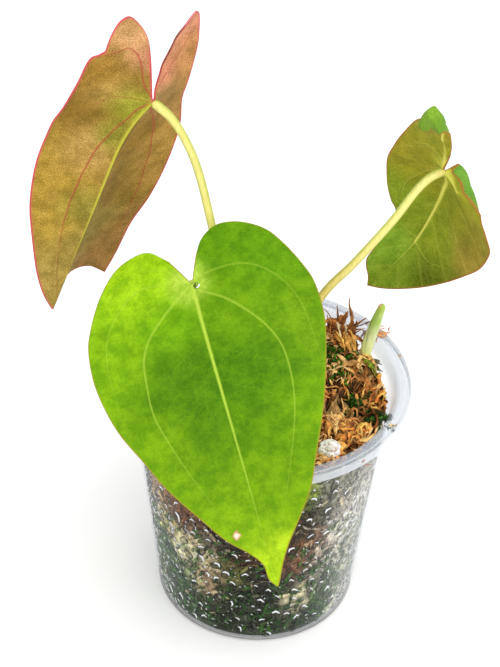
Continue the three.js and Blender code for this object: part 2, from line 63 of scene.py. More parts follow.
# Looks from the front and above: the camera is moved back from the pot, then aside and up in its own frame
def addCamera(settings):
    elevation, roll = math.radians(settings["elevation"]), math.radians(settings["roll"])
    back = Vector((0, -math.cos(elevation), math.sin(elevation)))
    sideways, steep = Vector((1, 0, 0)), Vector((0, math.sin(elevation), math.cos(elevation)))
    right = math.cos(roll) * sideways + math.sin(roll) * steep
    up = -math.sin(roll) * sideways + math.cos(roll) * steep
    place = Vector((0, 0, settings["aim"])) + back * settings["distance"]
    place += right * settings["aside"] + up * settings["above"]
    data = bpy.data.cameras.new("camera")
    data.sensor_width = 36
    data.lens = settings["focal"] * data.sensor_width / settings["imageHeight"]
    data.clip_end = 50
    camera = bpy.data.objects.new("camera", data)
    turned = Matrix((right, up, back)).transposed().to_4x4()
    camera.matrix_world = Matrix.Translation(place * mm) @ turned
    scene.collection.objects.link(camera)
    scene.camera = camera


# Shader maths. A Value is one output socket, and its operators add Math nodes.
class Value:
    def __init__(self, graph, socket):
        self.graph = graph
        self.socket = socket

    def maths(self, operation, *others):
        return self.graph.add("ShaderNodeMath", {"operation": operation}, [self, *others])

    def __add__(self, other):
        return self.maths("ADD", other)

    def __radd__(self, other):
        return self.maths("ADD", other)

    def __mul__(self, other):
        return self.maths("MULTIPLY", other)

    def __rmul__(self, other):
        return self.maths("MULTIPLY", other)

    def __sub__(self, other):
        return self.maths("SUBTRACT", other)

    def __rsub__(self, other):
        return self.graph.add("ShaderNodeMath", {"operation": "SUBTRACT"}, [other, self])

    def __abs__(self):
        return self.maths("ABSOLUTE")

    def larger(self, other):
        return self.maths("MAXIMUM", other)

    def smaller(self, other):
        return self.maths("MINIMUM", other)

    # Rises smoothly from 0 at low to 1 at high, or falls where low is the larger
    def step(self, low, high):
        ends = [self, low, high, 0.0, 1.0] if low < high else [self, high, low, 1.0, 0.0]
        return self.graph.add("ShaderNodeMapRange", {"interpolation_type": "SMOOTHSTEP"}, ends)

    # The first colour where this value is 0 and the second where it is 1
    def mix(self, first, second):
        return self.graph.mixNode("MIX", self, first, second)


# One material's nodes
class Graph:
    def __init__(self, name):
        self.material = bpy.data.materials.new(name)
        self.material.use_nodes = True
        self.nodes = self.material.node_tree.nodes
        self.nodes.clear()

    # A node of any kind: its settings come first, then its sockets' values or links
    def add(self, kind, settings=None, sockets=None, output=0):
        node = self.nodes.new(kind)
        for key, value in (settings or {}).items():
            setattr(node, key, value)
        for key, value in sockets.items() if isinstance(sockets, dict) else enumerate(sockets or []):
            socket = node.inputs[key]
            if isinstance(value, Value):
                self.material.node_tree.links.new(value.socket, socket)
            else:
                socket.default_value = (*value, 1) if socket.type == "RGBA" else value
        return Value(self, node.outputs[output])

    def mixNode(self, blend, share, first, second):
        return self.add("ShaderNodeMix", {"data_type": "RGBA", "blend_type": blend},
                        {0: share, 6: first, 7: second}, 2)

    # Place in the object's own coordinates, in metres
    def point(self):
        return self.add("ShaderNodeTexCoord", output=3)

    # One coordinate of that place: 0 for x, 1 for y and 2 for z
    def coordinate(self, axis):
        return self.add("ShaderNodeSeparateXYZ", None, [self.point()], axis)

    def place(self, *scale):
        factors = scale or (1, 1, 1)
        return self.add("ShaderNodeVectorMath", {"operation": "MULTIPLY"}, [self.point(), factors])

    def noise(self, at, scale, detail=3.0, roughness=0.55):
        return self.add("ShaderNodeTexNoise", None,
                        {"Vector": at, "Scale": scale, "Detail": detail, "Roughness": roughness})

    # A number that the mesh carries at each point, or with output 0 a colour
    def attribute(self, name, output=2):
        return self.add("ShaderNodeAttribute", {"attribute_name": name}, output=output)

    def tint(self):
        return self.attribute("tint", 0)

    # One colour times another
    def times(self, first, second):
        return self.mixNode("MULTIPLY", 1.0, first, second)

    def bump(self, height, distance, strength=1.0):
        return self.add("ShaderNodeBump", None,
                        {"Height": height, "Distance": distance, "Strength": strength})

    def surface(self, **sockets):
        names = {key.replace("_", " "): value for key, value in sockets.items()}
        return self.add("ShaderNodeBsdfPrincipled", None, names)

    def finish(self, shader):
        output = self.nodes.new("ShaderNodeOutputMaterial")
        self.material.node_tree.links.new(shader.socket, output.inputs["Surface"])
        return self.material


# Metres and watts
roomSettings = {"sky": 1.0, "floor": (0.985, 0.985, 0.985), "floorGlow": 0.08, "floorReach": 5,
                "lightPower": 10.2, "lightSize": 1.0, "lightPlace": (0.3, -0.75, 1.35),
                "lightAim": (0, 0, 0.1)}


# A near-white floor and sky, and one large soft light from the front right
def addRoom(settings):
    world = bpy.data.worlds.new("sky")
    world.use_nodes = True
    sky = world.node_tree.nodes["Background"]
    sky.inputs["Color"].default_value = (1, 1, 1, 1)
    sky.inputs["Strength"].default_value = settings["sky"]
    scene.world = world
    light = bpy.data.lights.new("softLight", "AREA")
    light.energy = settings["lightPower"]
    light.size = settings["lightSize"]
    lamp = bpy.data.objects.new("softLight", light)
    lamp.location = settings["lightPlace"]
    aim = Vector(settings["lightAim"]) - lamp.location
    lamp.rotation_euler = aim.to_track_quat("-Z", "Y").to_euler()
    scene.collection.objects.link(lamp)
    graph = Graph("floor")
    grain = graph.noise(graph.place(), 40.0).step(0.3, 0.7)
    paint = grain.mix(settings["floor"], tuple(0.99 * c for c in settings["floor"]))
    mesh = bpy.data.meshes.new("floor")
    reach = settings["floorReach"]
    mesh.from_pydata([(-reach, -reach, 0), (reach, -reach, 0), (reach, reach, 0), (-reach, reach, 0)], [],
                     [(0, 1, 2, 3)])
    mesh.materials.append(graph.finish(graph.surface(Base_Color=paint, Roughness=0.9, Emission_Color=paint,
                                                     Emission_Strength=settings["floorGlow"])))
    floor = bpy.data.objects.new("floor", mesh)
    scene.collection.objects.link(floor)


# Shared shapes

# From 0 at 0 to 1 at 1, level at both ends: three squares less two cubes
def smooth(t):
    c = np.clip(t, 0, 1)
    return c * c * (3 - 2 * c)


def unit(vectors):
    return vectors / np.maximum(np.linalg.norm(vectors, axis=-1, keepdims=True), 1e-9)


# The colour that lies a share of the way from the first to the second
def between(first, second, share):
    return np.array(first) * (1 - share) + np.array(second) * share


# Places at a radius and a turn round the pot's axis, at a height
def around(radius, turn, z):
    return np.stack([radius * np.sin(turn), -radius * np.cos(turn), z + 0 * turn], -1)


def evenTurns(sides):
    return 2 * np.pi * np.arange(sides) / sides


# Smooth noise from -1 to 1: random numbers on a lattice, blended between its corners
def fuzz(points, size, seed):
    cell = np.asarray(points, float) / size
    low = np.floor(cell).astype(np.int64)
    share = smooth(cell - low)
    total = np.zeros(cell.shape[:-1])
    for corner in np.ndindex(2, 2, 2):
        at = low + np.array(corner)
        mixed = (at[..., 0] * 73856093) ^ (at[..., 1] * 19349663) ^ (at[..., 2] * 83492791)
        mixed = mixed ^ (seed * 6542989)
        mixed = (mixed ^ (mixed >> 13)) * 1274126177
        mixed = (mixed ^ (mixed >> 16)) & 65535
        weight = np.prod(np.where(np.array(corner) == 1, share, 1 - share), axis=-1)
        total += weight * (mixed / 32767.5 - 1)
    return total


# Each point's colour, for the materials that read tint
def paint(mesh, colours):
    tint = np.concatenate([colours, np.ones((len(colours), 1))], axis=1)
    mesh.attributes.new("tint", "FLOAT_COLOR", "POINT").data.foreach_set("color", tint.ravel())


# A mesh from points and from arrays of faces, one array for each number of corners. It may carry colours,
# a flat place for each point, and named numbers.
def meshOf(name, points, faces, colours=None, flat=None, values=None):
    mesh = bpy.data.meshes.new(name)
    mesh.vertices.add(len(points))
    mesh.vertices.foreach_set("co", (np.asarray(points) * mm).astype(np.float32).ravel())
    corners = np.concatenate([part.ravel() for part in faces]).astype(np.int32)
    sizes = np.concatenate([np.full(len(part), part.shape[1]) for part in faces])
    mesh.loops.add(len(corners))
    mesh.loops.foreach_set("vertex_index", corners)
    mesh.polygons.add(len(sizes))
    mesh.polygons.foreach_set("loop_start", (np.cumsum(sizes) - sizes).astype(np.int32))
    mesh.polygons.foreach_set("use_smooth", np.ones(len(sizes), bool))
    mesh.update(calc_edges=True)
    if colours is not None:
        paint(mesh, np.clip(colours, 0, 1))
    for key, value in (values or {}).items():
        layer = mesh.attributes.new(key, "FLOAT", "POINT")
        layer.data.foreach_set("value", np.asarray(value, float).ravel())
    if flat is not None:
        mesh.uv_layers.new(name="flat").data.foreach_set("uv", flat[corners].ravel())
    return mesh


# Hands a piece over: it rides on the one body and hides the nodes that it replaces
def addPiece(name, mesh, material, nodes=()):
    piece = bpy.data.objects.new(name, mesh)
    mesh.materials.append(material)
    scene.collection.objects.link(piece)
    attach(piece, "root")
    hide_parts(*nodes)
    return piece


# Cuts the corners of an open [radius, height] line off, so that they turn in short steps
def rounded(profile, cut, times=2):
    line = np.array(profile, float)
    for _ in range(times):
        step = line[1:] - line[:-1]
        length = np.linalg.norm(step, axis=1, keepdims=True)
        near = step * np.minimum(cut / np.maximum(length, 1e-9), 0.25)
        pairs = np.stack([line[:-1] + near, line[1:] - near], 1).reshape(-1, 2)
        line = np.concatenate([line[:1], pairs, line[-1:]])
        cut = cut / 2
    return line[np.concatenate([[True], np.linalg.norm(np.diff(line, axis=0), axis=1) > 1e-6])]


# Faces of a surface of rings, each ring closed, with a single point before the first and after the last
def ringFaces(rings, sides):
    i, k = np.meshgrid(np.arange(rings - 1), np.arange(sides), indexing="ij")
    nextK = (k + 1) % sides
    here, above = i * sides + 1, (i + 1) * sides + 1
    quads = np.stack([here + k, above + k, above + nextK, here + nextK], -1)
    k, nextK = np.arange(sides), (np.arange(sides) + 1) % sides
    end = rings * sides + 1
    start = np.stack([np.zeros(sides, int), 1 + k, 1 + nextK], -1)
    stop = np.stack([np.full(sides, end), end - sides + nextK, end - sides + k], -1)
    return quads.reshape(-1, 4), np.concatenate([start, stop])


# Many strands at once: paths are strands x stations x 3. Each section is an ellipse of a half width
# across and a half depth towards its facing, and both ends close in a point.
def strandArrays(paths, widths, depths, facing, sides=4):
    count, stations = paths.shape[:2]
    along = unit(np.gradient(paths, axis=1))
    up = unit(facing - np.sum(facing * along, -1, keepdims=True) * along)
    across = np.cross(along, up)
    angle = evenTurns(sides)
    rings = (paths[:, :, None] + widths[:, :, None, None] * np.cos(angle)[:, None] * across[:, :, None]
             + depths[:, :, None, None] * np.sin(angle)[:, None] * up[:, :, None])
    points = np.concatenate([paths[:, :1], rings.reshape(count, -1, 3), paths[:, -1:]], axis=1)
    each = stations * sides + 2
    offsets = (np.arange(count) * each)[:, None, None]
    quads, tips = ringFaces(stations, sides)
    return points.reshape(-1, 3), [(quads + offsets).reshape(-1, 4), (tips + offsets).reshape(-1, 3)], each


# Several parts in one: their points, and their quads and tips with each part's own numbering carried on
def joined(parts):
    starts = np.cumsum([0] + [len(points) for points, _ in parts])
    kinds = zip(*[[part + start for part in faces] for start, (_, faces) in zip(starts, parts)])
    return np.concatenate([points for points, _ in parts]), [np.concatenate(kind) for kind in kinds]


# A smooth line through points, its speed evened by the square root of each span's length
def smoothLine(points, perSpan):
    p = np.array(points, float)
    p = np.concatenate([[2 * p[0] - p[1]], p, [2 * p[-1] - p[-2]]])
    t = (np.arange(perSpan) / perSpan)[:, None]
    line = []
    for a, b, c, d in zip(p[:-3], p[1:-2], p[2:-1], p[3:]):
        ab, bc, cd = (np.sqrt(np.linalg.norm(v)) for v in (b - a, c - b, d - c))
        leave = ((b - a) / ab - (c - a) / (ab + bc) + (c - b) / bc) * bc
        arrive = ((c - b) / bc - (d - b) / (bc + cd) + (d - c) / cd) * bc
        line.append(b + leave * t + (3 * (c - b) - 2 * leave - arrive) * t ** 2
                    + (2 * (b - c) + leave + arrive) * t ** 3)
    return np.concatenate([*line, p[-2:-1]])


# A round tube along one route that tapers with its radius, and each of its points' share of the way along
# and angle round it
def tubeArrays(route, share, radius, facing, sides):
    facing = np.tile(facing, (1, len(route), 1))
    points, faces, _ = strandArrays(route[None], radius[None], radius[None], facing, sides)
    along = np.concatenate([[0], np.repeat(share, sides), [1]])
    angle = np.concatenate([[0], np.tile(evenTurns(sides), len(route)), [0]])
    return points, faces, along, angle


# Points at even distances along a line
def spaced(line, count):
    length = np.concatenate([[0], np.cumsum(np.linalg.norm(np.diff(line, axis=0), axis=1))])
    at = np.linspace(0, length[-1], count)
    return np.stack([np.interp(at, length, line[:, k]) for k in range(line.shape[1])], -1)


# A mean of the spots' colours, each weighted by how near it is. Spots are [place..., reach, colour].
def blended(places, spots):
    squares = [np.sum((places - np.array(place, float)) ** 2, -1) for place, _, _ in spots]
    weights = np.stack([np.exp(-square / reach ** 2) + 1e-6 / (1 + square)
                        for square, (_, reach, _) in zip(squares, spots)], -1)
    weights /= weights.sum(-1, keepdims=True)
    return weights @ np.stack([np.array(colour) for _, _, colour in spots])


# The pot

# Radius of the pot's inner wall at a height: the taper, and the flare above the neck
def innerRadius(z):
    p = potSizes
    slope = (p["neckRadius"] - p["baseRadius"]) / p["neckHeight"]
    flare = (p["flangeInner"] - p["neckRadius"] - 1) / (p["height"] - p["neckHeight"])
    return p["baseRadius"] - p["wall"] + slope * z + np.maximum(0, z - p["neckHeight"]) * (flare - slope)


# The bands' colour is a painted highlight and the heel's colour a painted contact shadow
plasticLook = {
    "clear": (0.965, 0.972, 0.98), "wall": (0.84, 0.86, 0.88), "heel": (0.14, 0.12, 0.09),
    "rim": ((0.43, 0.49, 0.60), (0.50, 0.55, 0.65)), "flush": (0.74, 0.54, 0.54),
    "highlightBands": (0.88, 0.90, 0.94),
}


# Clear where it is looked straight through, whiter at a slant and in the thick rim, and whiter still
# towards the right side as painted light. Two bright bands run round the flange as painted highlights, and
# the rest of it is a little pink in places. The heel at the foot is painted dark as a contact shadow.
def plasticMaterial(look):
    graph, p = Graph("clearPlastic"), potSizes
    height = graph.coordinate(2)
    rim = height.step((p["neckHeight"] - 1) * mm, (p["neckHeight"] + 3) * mm)
    # Painted contact shadow: the plastic turns dark and hazy near the foot
    heel = height.step(2.6 * mm, 0.8 * mm)
    slant = graph.add("ShaderNodeLayerWeight", None, {"Blend": 0.35}, 1)
    streaks = graph.noise(graph.place(60, 60, 12), 1.0, 4.0)
    # Painted light: the haze at a slant grows towards the right side, where the lamp is
    haze = 0.004 + slant.step(0.28, 0.95) * (0.15 + graph.coordinate(0).step(-10 * mm, 40 * mm) * 0.15)
    haze = haze + streaks.step(0.5, 0.8) * 0.03 * slant + heel * 0.5
    flange = p["rimRadius"] - p["flangeInner"]
    away = graph.add("ShaderNodeVectorMath", {"operation": "LENGTH"}, [graph.place(1, 1, 0)], 1)
    across = away * (1 / (flange * mm)) - p["flangeInner"] / flange
    # Painted highlights: two bright bands round the flange where its beads would catch the light
    highlightBands = across.step(0.78, 0.88).larger(across.step(0.28, 0.34) * across.step(0.48, 0.42))
    haze = haze + rim * (0.24 + streaks * 0.06 + highlightBands * 0.22)
    tone = streaks.step(0.3, 0.75).mix(*look["rim"])
    flush = graph.noise(graph.place(), 95.0, 2.0).step(0.56, 0.72) * 0.3
    tone = flush.mix(tone, look["flush"])
    tone = (highlightBands * 0.85).mix(tone, look["highlightBands"])
    tone = rim.mix(heel.mix(look["wall"], look["heel"]), tone)
    milk = graph.surface(Base_Color=tone, Roughness=streaks * 0.08 + 0.05, IOR=1.49)
    clear = graph.add("ShaderNodeBsdfTransparent", None, {"Color": look["clear"]})
    return graph.finish(graph.add("ShaderNodeMixShader", None, [haze.smaller(0.9), clear, milk]))


# The shell's outline as [radius, height]: out along the raised base, up the wall, round the flange and the
# skirt, and back down inside
def potOutline():
    p = potSizes
    h, bead, wall, rim, lip = p["height"], p["bead"], p["wall"], p["rimRadius"], p["flangeInner"]
    heel, hollow, inside = p["heel"], p["hollow"], p["floor"] + p["hollow"]
    return [[0, hollow], [p["foot"] - 1.5, hollow], [p["foot"], 0], [p["baseRadius"] - heel, 0],
            [p["baseRadius"], heel], [p["neckRadius"], p["neckHeight"]], [lip - bead, h - wall - bead],
            [rim - wall, h - wall - bead], [rim - wall, h - p["skirt"]], [rim, h - p["skirt"]],
            [rim, h - bead], [rim - bead, h], [rim - 2 * bead - wall, h - bead], [lip + bead, h - bead],
            [lip, h + bead], [lip - wall, h + bead], [innerRadius(h - bead), h - bead],
            [innerRadius(p["neckHeight"]), p["neckHeight"]], [innerRadius(inside), inside],
            [p["foot"] - 1.5, inside], [0, inside]]


# A thin closed shell: the outline with its corners cut, turned round the axis, less the drain holes
def addPot():
    p = potSizes
    line = rounded(potOutline(), 0.28)
    long = np.concatenate([np.linspace(a, b, 1 + int(np.linalg.norm(b - a) // p["span"]), endpoint=False)
                           for a, b in zip(line[:-1], line[1:])])[1:]
    angle = evenTurns(p["sides"])
    rings = np.stack([long[:, :1] * np.cos(angle), long[:, :1] * np.sin(angle),
                      np.repeat(long[:, 1:], p["sides"], 1)], -1)
    points = np.concatenate([[[0, 0, line[0, 1]]], rings.reshape(-1, 3), [[0, 0, line[-1, 1]]]])
    quads, tips = ringFaces(len(long), p["sides"])
    mesh = meshOf("clearPot", points, [quads[:, ::-1], tips[:, ::-1]])
    shell = addPiece("clearPot", mesh, plasticMaterial(plasticLook), ["pot"])
    drills = bmesh.new()
    for k in range(p["drainHoles"]):
        turn = 2 * math.pi * (k + 0.5) / p["drainHoles"]
        at = Vector((p["drainRing"] * math.cos(turn), p["drainRing"] * math.sin(turn), 0)) * mm
        radius = p["drainHoleRadius"] * mm
        bmesh.ops.create_cone(drills, cap_ends=True, segments=32, radius1=radius, radius2=radius,
                              depth=8 * mm, matrix=Matrix.Translation(at))
    cutter = bpy.data.objects.new("drills", bpy.data.meshes.new("drills"))
    drills.to_mesh(cutter.data)
    drills.free()
    scene.collection.objects.link(cutter)
    cut = shell.modifiers.new("drainHoles", "BOOLEAN")
    cut.object = cutter
    cut.operation = "DIFFERENCE"
    graph = bpy.context.evaluated_depsgraph_get()
    finished = bpy.data.meshes.new_from_object(shell.evaluated_get(graph))
    shell.modifiers.clear()
    shell.data = finished
    bpy.data.objects.remove(cutter)
    print("pot", len(finished.polygons))


dropSettings = {"count": 1650, "radius": (0.32, 2.3), "depth": 0.34, "sides": 8, "seed": 5}


# The ring is a painted shade and the crescent a painted highlight
waterLook = {"clear": (0.90, 0.90, 0.88), "middle": (0.10, 0.09, 0.07), "ring": (0.015, 0.013, 0.010),
             "paintedHighlight": (1.0, 1.0, 1.0)}


# Clear water: a painted dark ring near a drop's edge, standing in for the shade that refraction gives
# it, and a painted white highlight crescent where the drop's shape asks for one
def waterMaterial(look):
    graph = Graph("water")
    # Painted highlight: a white crescent on the drop's upper rim
    paintedHighlight = graph.attribute("rise").step(0.26, 0.44)
    # Painted shade: a dark ring towards the drop's edge
    ring = graph.attribute("centred").step(0.5, 0.95)
    tone = paintedHighlight.mix(ring.mix(look["middle"], look["ring"]), look["paintedHighlight"])
    wet = graph.surface(Base_Color=tone, Roughness=graph.noise(graph.place(), 900.0) * 0.1 + 0.02,
                        Specular_IOR_Level=0.12)
    clear = graph.add("ShaderNodeBsdfTransparent", None, {"Color": look["clear"]})
    body = (paintedHighlight * 0.97).larger(ring * 0.6 + 0.03)
    return graph.finish(graph.add("ShaderNodeMixShader", None, [body, clear, wet]))


# Drops laid down from the largest to the smallest, each kept only where it stays clear of those before it
def spreadDrops(places, size, count, clearance=1.2):
    kept = []
    for i in np.argsort(-size):
        if len(kept) == count:
            break
        gaps = np.hypot(*(places[kept] - places[i]).T) - size[kept] * clearance
        if not kept or np.min(gaps) > size[i] * clearance:
            kept.append(i)
    return kept


# Water on the inside of the wall: flattened caps of uneven outline that bulge towards the wall. Each level
# of a cap is its share of the radius and its share of the depth. The upper rim carries a painted highlight,
# a bright crescent of random strength.
def addDroplets(settings):
    random = np.random.default_rng(settings["seed"])
    count, sides, depth = settings["count"], settings["sides"], settings["depth"]
    tries = count * 5
    low, high = settings["radius"]
    size = low + (high - low) * random.random(tries) ** 3.2
    turn = random.uniform(-np.pi, np.pi, tries)
    height = 3.5 + 90 * random.random(tries)
    kept = spreadDrops(np.stack([turn * wallRadius, height], -1), size, count)
    size, turn, height = size[kept], turn[kept], height[kept]
    count = len(kept)
    angle = evenTurns(sides)
    uneven = 1 + 0.16 * np.sin(2 * angle + random.uniform(0, 6, (count, 1)))
    uneven = uneven + 0.1 * np.sin(3 * angle + random.uniform(0, 6, (count, 1)))
    stretch = 1 + 0.7 * random.random((count, 1)) ** 2
    bright = random.random((count, 1)) ** 0.7
    levels = [(0.52, 0.95), (0.82, 0.66), (1.0, 0.12), (0.96, -0.15)]

    def capped(first, rows, last=0.0):
        zero = np.zeros((count, 1))
        return np.concatenate([zero + first, *rows, zero + last], 1)

    across = capped(0, [share * uneven * np.cos(angle) * size[:, None] for share, _ in levels])
    upward = capped(0, [share * uneven * np.sin(angle) * stretch * size[:, None] for share, _ in levels])
    lift = capped(1, [np.full((count, sides), bulge) for _, bulge in levels], -0.15) * depth - 0.03
    z = height[:, None] + upward
    radius = innerRadius(z) - depth - 0.06 + lift * 0.9
    points = around(radius, turn[:, None] + across / radius, z)
    quads, tips = ringFaces(len(levels), sides)
    offsets = (np.arange(count) * (len(levels) * sides + 2))[:, None, None]
    lean = random.normal(0.35, 0.6, (count, 1))
    # The painted highlight's mask: strongest on the upper rim, with a random strength for each drop
    rise = capped(0, [bright * np.sin(angle + lean) * np.exp(-((share - 0.82) / 0.16) ** 2)
                      for share, _ in levels])
    centred = capped(0, [np.full((count, sides), share) for share, _ in levels])
    mesh = meshOf("condensation", points.reshape(-1, 3),
                  [(quads + offsets).reshape(-1, 4)[:, ::-1], (tips + offsets).reshape(-1, 3)[:, ::-1]],
                  values={"rise": rise, "centred": centred})
    addPiece("condensation", mesh, waterMaterial(waterLook))
    print("droplets", count)


# The filling

# Height of the filling: a level, the heap at the back right, and a slow unevenness
def fillingHeight(x, y):
    away = ((x - heap["x"]) ** 2 + (y - heap["y"]) ** 2) / heap["spread"] ** 2
    rough = (np.sin(0.21 * x + 1.7) * np.cos(0.19 * y - 0.6) + 0.7 * np.sin(0.43 * x - 0.37 * y + 2.1)
             + 0.5 * np.cos(0.71 * y + 0.5 * x))
    return level + heap["height"] * np.exp(-away) + 1.3 * rough


# The filling's top with its clumps
def mossTop(x, y):
    at = np.stack([x, y, np.zeros_like(x)], -1)
    shore = smooth((innerRadius(level) - np.hypot(x, y)) / 7)
    clumps = 1.9 * fuzz(at, 7.5, 3) + 1.4 * fuzz(at, 3.6, 4) + 0.5 * fuzz(at, 1.5, 5)
    return level - 1 + shore * (fillingHeight(x, y) - level + clumps)


mossTones = {
    "dark": (0.035, 0.018, 0.008), "umber": (0.11, 0.045, 0.016), "red": (0.26, 0.095, 0.03),
    "orange": (0.52, 0.225, 0.06), "tan": (0.62, 0.38, 0.15), "cream": (0.86, 0.70, 0.42),
    "green": (0.045, 0.15, 0.012), "lime": (0.30, 0.42, 0.03), "slate": (0.048, 0.062, 0.036),
    "grey": (0.33, 0.32, 0.25), "pale": (1.0, 0.95, 0.80), "charcoal": (0.035, 0.025, 0.025),
    "olive": (0.17, 0.18, 0.035), "straw": (0.62, 0.56, 0.24), "ivory": (1.0, 0.92, 0.62),
    "gold": (1.0, 0.54, 0.14),
}

# Patches behind the wall: (turn in degrees, height), reach and tone
wallPatches = [
    ((-88, 80), 20, "slate"), ((-62, 84), 14, "tan"), ((-44, 72), 13, "red"), ((-36, 64), 8, "umber"),
    ((-33, 40), 12, "ivory"), ((-52, 52), 8, "straw"), ((-20, 57), 10, "charcoal"), ((-27, 33), 8, "red"),
    ((-8, 49), 5, "umber"), ((-14, 39), 7, "olive"), ((-58, 22), 16, "green"), ((-48, 8), 10, "slate"),
    ((-8, 22), 14, "slate"), ((-6, 6), 12, "slate"), ((4, 34), 10, "charcoal"), ((22, 20), 6, "ivory"),
    ((24, 9), 12, "slate"), ((29, 50), 9, "red"), ((38, 36), 10, "charcoal"), ((27, 72), 12, "slate"),
    ((25, 86), 7, "lime"), ((44, 80), 12, "grey"), ((50, 43), 15, "pale"), ((52, 26), 13, "green"),
    ((66, 55), 14, "pale"), ((72, 82), 16, "grey"), ((80, 30), 16, "pale"), ((62, 12), 8, "pale"),
    ((-10, 16), 6, "charcoal"), ((10, 24), 6, "slate"), ((12, 62), 14, "umber"),
    ((100, 20), 14, "green"), ((103, 62), 12, "tan"), ((120, 78), 15, "slate"), ((124, 46), 10, "ivory"),
    ((132, 22), 13, "charcoal"), ((150, 12), 14, "slate"), ((146, 62), 12, "red"), ((160, 38), 12, "olive"),
    ((168, 82), 14, "grey"), ((180, 58), 10, "umber"), ((-172, 30), 12, "straw"), ((-160, 72), 14, "slate"),
    ((-155, 10), 13, "green"), ((-142, 48), 11, "red"), ((-130, 84), 14, "umber"),
    ((-126, 26), 12, "charcoal"), ((-115, 58), 10, "ivory"), ((-104, 34), 11, "tan"),
    ((-100, 10), 12, "green"), ((-96, 78), 12, "olive"),
]


# The colour behind the wall: its patches, each also a full turn away so that they meet at the back, with
# their edges pushed about by noise
def wallColour(turn, z):
    spots = [((degrees + whole, height), reach, mossTones[tone])
             for (degrees, height), reach, tone in wallPatches
             for whole in (0, 360, -360) if abs(degrees + whole) < 230]
    wall = around(wallRadius, turn, z)
    ragged = 5 * np.stack([fuzz(wall, 8.0, 31), fuzz(wall, 8.0, 32)], -1)
    return blended(np.stack([np.degrees(turn), z], -1) + ragged, spots)


# Patches on top: (x, y), reach and tone
topPatches = [
    ((43, 20), 4.5, "olive"), ((46, 5), 7, "orange"), ((38, 11), 5, "tan"), ((33, 28), 5, "cream"),
    ((29, 37), 6, "red"), ((34, -13), 5, "tan"), ((36, -25), 5, "orange"), ((46, -20), 5, "red"),
    ((27, -8), 5, "umber"), ((29, 18), 5, "umber"), ((28, -32), 6, "orange"), ((-20, 0), 25, "tan"),
    ((-10, 35), 18, "umber"), ((-30, -20), 18, "orange"), ((5, -25), 16, "tan"), ((14, 14), 12, "red"),
]


# The colour of the top: its patches, mixed with clumps of one tint beside another, painted darker the
# deeper it is given, as shade low down
def topColour(x, y, depth=0.0):
    at = np.stack([x, y, 0 * x], -1)
    spots = [(place, reach, mossTones[tone]) for place, reach, tone in topPatches]
    patch = blended(np.stack([x, y], -1), spots)
    share = 0.5 + 0.5 * fuzz(at, 9.0, 11) + 0.35 * fuzz(at, 4.0, 12) - depth
    tones = np.array([mossTones[tone] for tone in ("dark", "umber", "red", "orange", "tan", "cream")])
    step = np.clip(share, 0, 0.999) * (len(tones) - 1)
    low = np.floor(step).astype(int)
    clump = tones[low] + (step - low)[..., None] * (tones[low + 1] - tones[low])
    return patch * (0.76 - 0.3 * depth) + clump * 0.36


# Loose damp moss: its tint with fine dark and light grain, dull all over
def mossMaterial(name, roughness=0.75, grain=420.0):
    graph = Graph(name)
    at = graph.place()
    fine = graph.noise(at, grain, 5.0, 0.65)
    broad = graph.noise(at, grain * 0.3, 3.0)
    tone = graph.times(graph.tint(), fine.step(0.36, 0.64).mix((0.55, 0.52, 0.5), (1.25, 1.2, 1.1)))
    normal = graph.bump(fine + broad * 0.5, 0.6 * mm, 0.7)
    return graph.finish(graph.surface(Base_Color=tone, Roughness=broad * 0.3 + (roughness - 0.15),
                                      Normal=normal, Specular_IOR_Level=0.12))


bodySettings = {"sides": 264, "rings": (64, 92, 5), "foot": 2.35, "clearance": 1.0}


# The filling's body: rings from the middle of its top out to the wall, down the side and in again below.
# Its side is dented by noise, less and less towards the foot.
def addMossBody(settings):
    sides, foot, clearance = settings["sides"], settings["foot"], settings["clearance"]
    outward, downward, inward = settings["rings"]
    angle = evenTurns(sides)
    radius = innerRadius(level) - 1.4
    rings = []
    for k in range(1, outward + 1):
        x, y, _ = around(radius * (k / outward), angle, 0).T
        rings.append(np.stack([x, y, mossTop(x, y)], -1))
    for k in range(1, downward + 1):
        z = (level - 1) + (foot - level + 1) * k / downward
        wall = around(wallRadius, angle, z)
        rough = smooth((z - foot) / 4)
        dent = 0.75 + 0.75 * fuzz(wall, 5.0, 21) + 0.5 * fuzz(wall, 2.2, 22)
        r = innerRadius(z) - clearance - np.maximum(dent, 0) * rough
        rings.append(around(r, angle, z + 0.5 * fuzz(wall, 3.0, 23) * rough))
    for k in range(1, inward + 1):
        r = (innerRadius(foot - 0.05) - clearance) * (1 - k / (inward + 1))
        rings.append(around(r, angle, foot - 0.1))
    middle = mossTop(np.zeros(1), np.zeros(1))[0]
    points = np.concatenate([[[0, 0, middle]], np.reshape(rings, (-1, 3)), [[0, 0, foot - 0.1]]])
    x, y, z = points.T
    onTop = smooth((z - level + 5) / 4) * smooth((radius + 0.5 - np.hypot(x, y)) / 1.5)
    colours = wallColour(np.arctan2(x, -y), z) * 1.15
    # Painted shade: the body's top is dark, a deep and dimmed tone of the top's colour, for the gaps under
    # the flakes
    colours = between(colours, topColour(x, y, 0.35) * 0.3, onTop[:, None])
    speckle = 1 + 0.45 * fuzz(points, 1.6, 41) + 0.25 * fuzz(points, 0.8, 42)
    quads, tips = ringFaces(len(rings), sides)
    mesh = meshOf("mossBody", points, [quads, tips], colours * speckle[:, None])
    addPiece("mossBody", mesh, mossMaterial("mossBody"), ["sphagnum"])
    print("moss body", len(quads))


wallStrandSettings = {"count": 2150, "leaflets": 520, "glints": 220, "length": (3, 12),
                      "width": (0.25, 1.15), "stations": 7, "seed": 9, "living": (0.036, 0.115, 0.018)}
